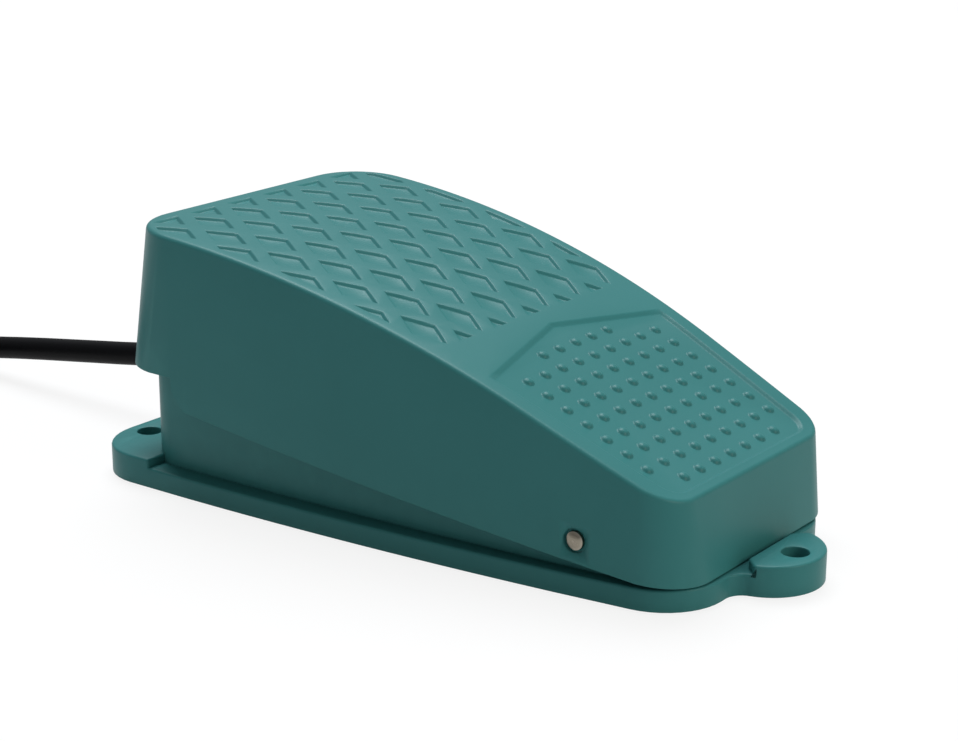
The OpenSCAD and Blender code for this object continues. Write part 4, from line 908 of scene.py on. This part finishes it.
bmesh.ops.remove_doubles(sleeve, verts=sleeve.verts, dist=1e-4)
bmesh.ops.recalc_face_normals(sleeve, faces=sleeve.faces)
relief = piece_of(sleeve, "strain_relief_sleeve", black_rubber)
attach(relief, "base")
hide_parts("strain_relief")
print("strain relief faces:", len(relief.data.polygons))

# %% [markdown]
# ## Return springs
# Two coil springs push the treadle up. A spring has to shorten as the treadle
# goes down. Each is swept as a curve and turned into a mesh.

# %% Return springs
SPRING_LEN, SPRING_R, WIRE, TURNS, PER_TURN = 32.0, 6.1, 1.8, 7, 24
for sign, node in ((-1, "return_spring_near"), (1, "return_spring_far")):
    rise = SPRING_LEN - WIRE - 0.1
    points = []
    for k in range(PER_TURN * TURNS + 1):
        a = math.radians(15 * k)
        points.append(Vector((SPRING_X + SPRING_R * math.cos(a), sign * SPRING_SIDE + SPRING_R * math.sin(a),
                              SPRING_LOW + WIRE / 2 + 0.05 + rise * k / (PER_TURN * TURNS))) * MM)
    wire = swept(node + "_wire", points, WIRE / 2 * MM, 3)
    bpy.context.view_layer.update()
    graph = bpy.context.evaluated_depsgraph_get()
    mesh = bpy.data.meshes.new_from_object(wire.evaluated_get(graph), depsgraph=graph)
    bpy.data.objects.remove(wire)
    spring = bpy.data.objects.new(node + "_wire", mesh)
    bpy.context.scene.collection.objects.link(spring)
    spring.data.materials.clear()
    spring.data.materials.append(spring_steel)
    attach(spring, "base")
    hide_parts(node)
    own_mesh(spring)
print("springs done")

# %% [markdown]
# ## Floor and light
# The photograph shows the object on plain white. The floor here is a pale sheet
# that still takes a soft shadow. A wide lamp above gives the treadle's top its
# light, a weaker one stands to the right, and the sky fills the rest.

# %% Floor
bpy.ops.mesh.primitive_plane_add(size=20, location=(0, 0, 0))
floor = bpy.context.object
floor.name = "floor"
paper = bpy.data.materials.new("paper")
paper.use_nodes = True
tree = paper.node_tree
tree.nodes.clear()
out = tree.nodes.new("ShaderNodeOutputMaterial")
diffuse = tree.nodes.new("ShaderNodeBsdfDiffuse")
diffuse.inputs["Color"].default_value = (0.66, 0.66, 0.66, 1)
glow = tree.nodes.new("ShaderNodeEmission")
glow.inputs["Color"].default_value = (1, 1, 1, 1)
path = tree.nodes.new("ShaderNodeLightPath")
seen = math_node(tree, "ADD", path.outputs["Is Camera Ray"], path.outputs["Is Glossy Ray"], clamp=True)
seen = math_node(tree, "ADD", seen, path.outputs["Is Transmission Ray"], clamp=True)
mix = tree.nodes.new("ShaderNodeMixShader")
tree.links.new(math_node(tree, "MULTIPLY", seen, 0.86), mix.inputs["Fac"])
tree.links.new(diffuse.outputs[0], mix.inputs[1])
tree.links.new(glow.outputs[0], mix.inputs[2])
tree.links.new(mix.outputs[0], out.inputs["Surface"])
floor.data.materials.append(paper)

# %% Sky and lamps
SKY_LIGHT = 0.34
world = bpy.data.worlds.new("sky")
bpy.context.scene.world = world
world.use_nodes = True
tree = world.node_tree
sky = tree.nodes["Background"]
sky.inputs["Color"].default_value = (1, 1, 1, 1)
path = tree.nodes.new("ShaderNodeLightPath")
seen = math_node(tree, "ADD", path.outputs["Is Camera Ray"], path.outputs["Is Transmission Ray"], clamp=True)
strength = math_node(tree, "ADD", math_node(tree, "MULTIPLY", seen, 1 - SKY_LIGHT), SKY_LIGHT)
tree.links.new(strength, sky.inputs["Strength"])


def lamp(name, place, size, power, tint):
    data = bpy.data.lights.new(name, "AREA")
    data.shape, data.size, data.energy, data.color = "DISK", size, power, tint
    light = bpy.data.objects.new(name, data)
    light.location = place
    light.rotation_mode = "QUATERNION"
    light.rotation_quaternion = (-Vector(place)).to_track_quat("-Z", "Y")
    bpy.context.scene.collection.objects.link(light)


lamp("top_lamp", (-0.5, 0.5, 1.6), 1.4, 48, (0.93, 0.96, 1.0))
lamp("right_lamp", (1.7, 0.1, 0.9), 1.0, 14, (1.0, 0.98, 0.86))
bpy.context.scene.view_settings.view_transform = "Standard"

# %% The json module, imported again
import json
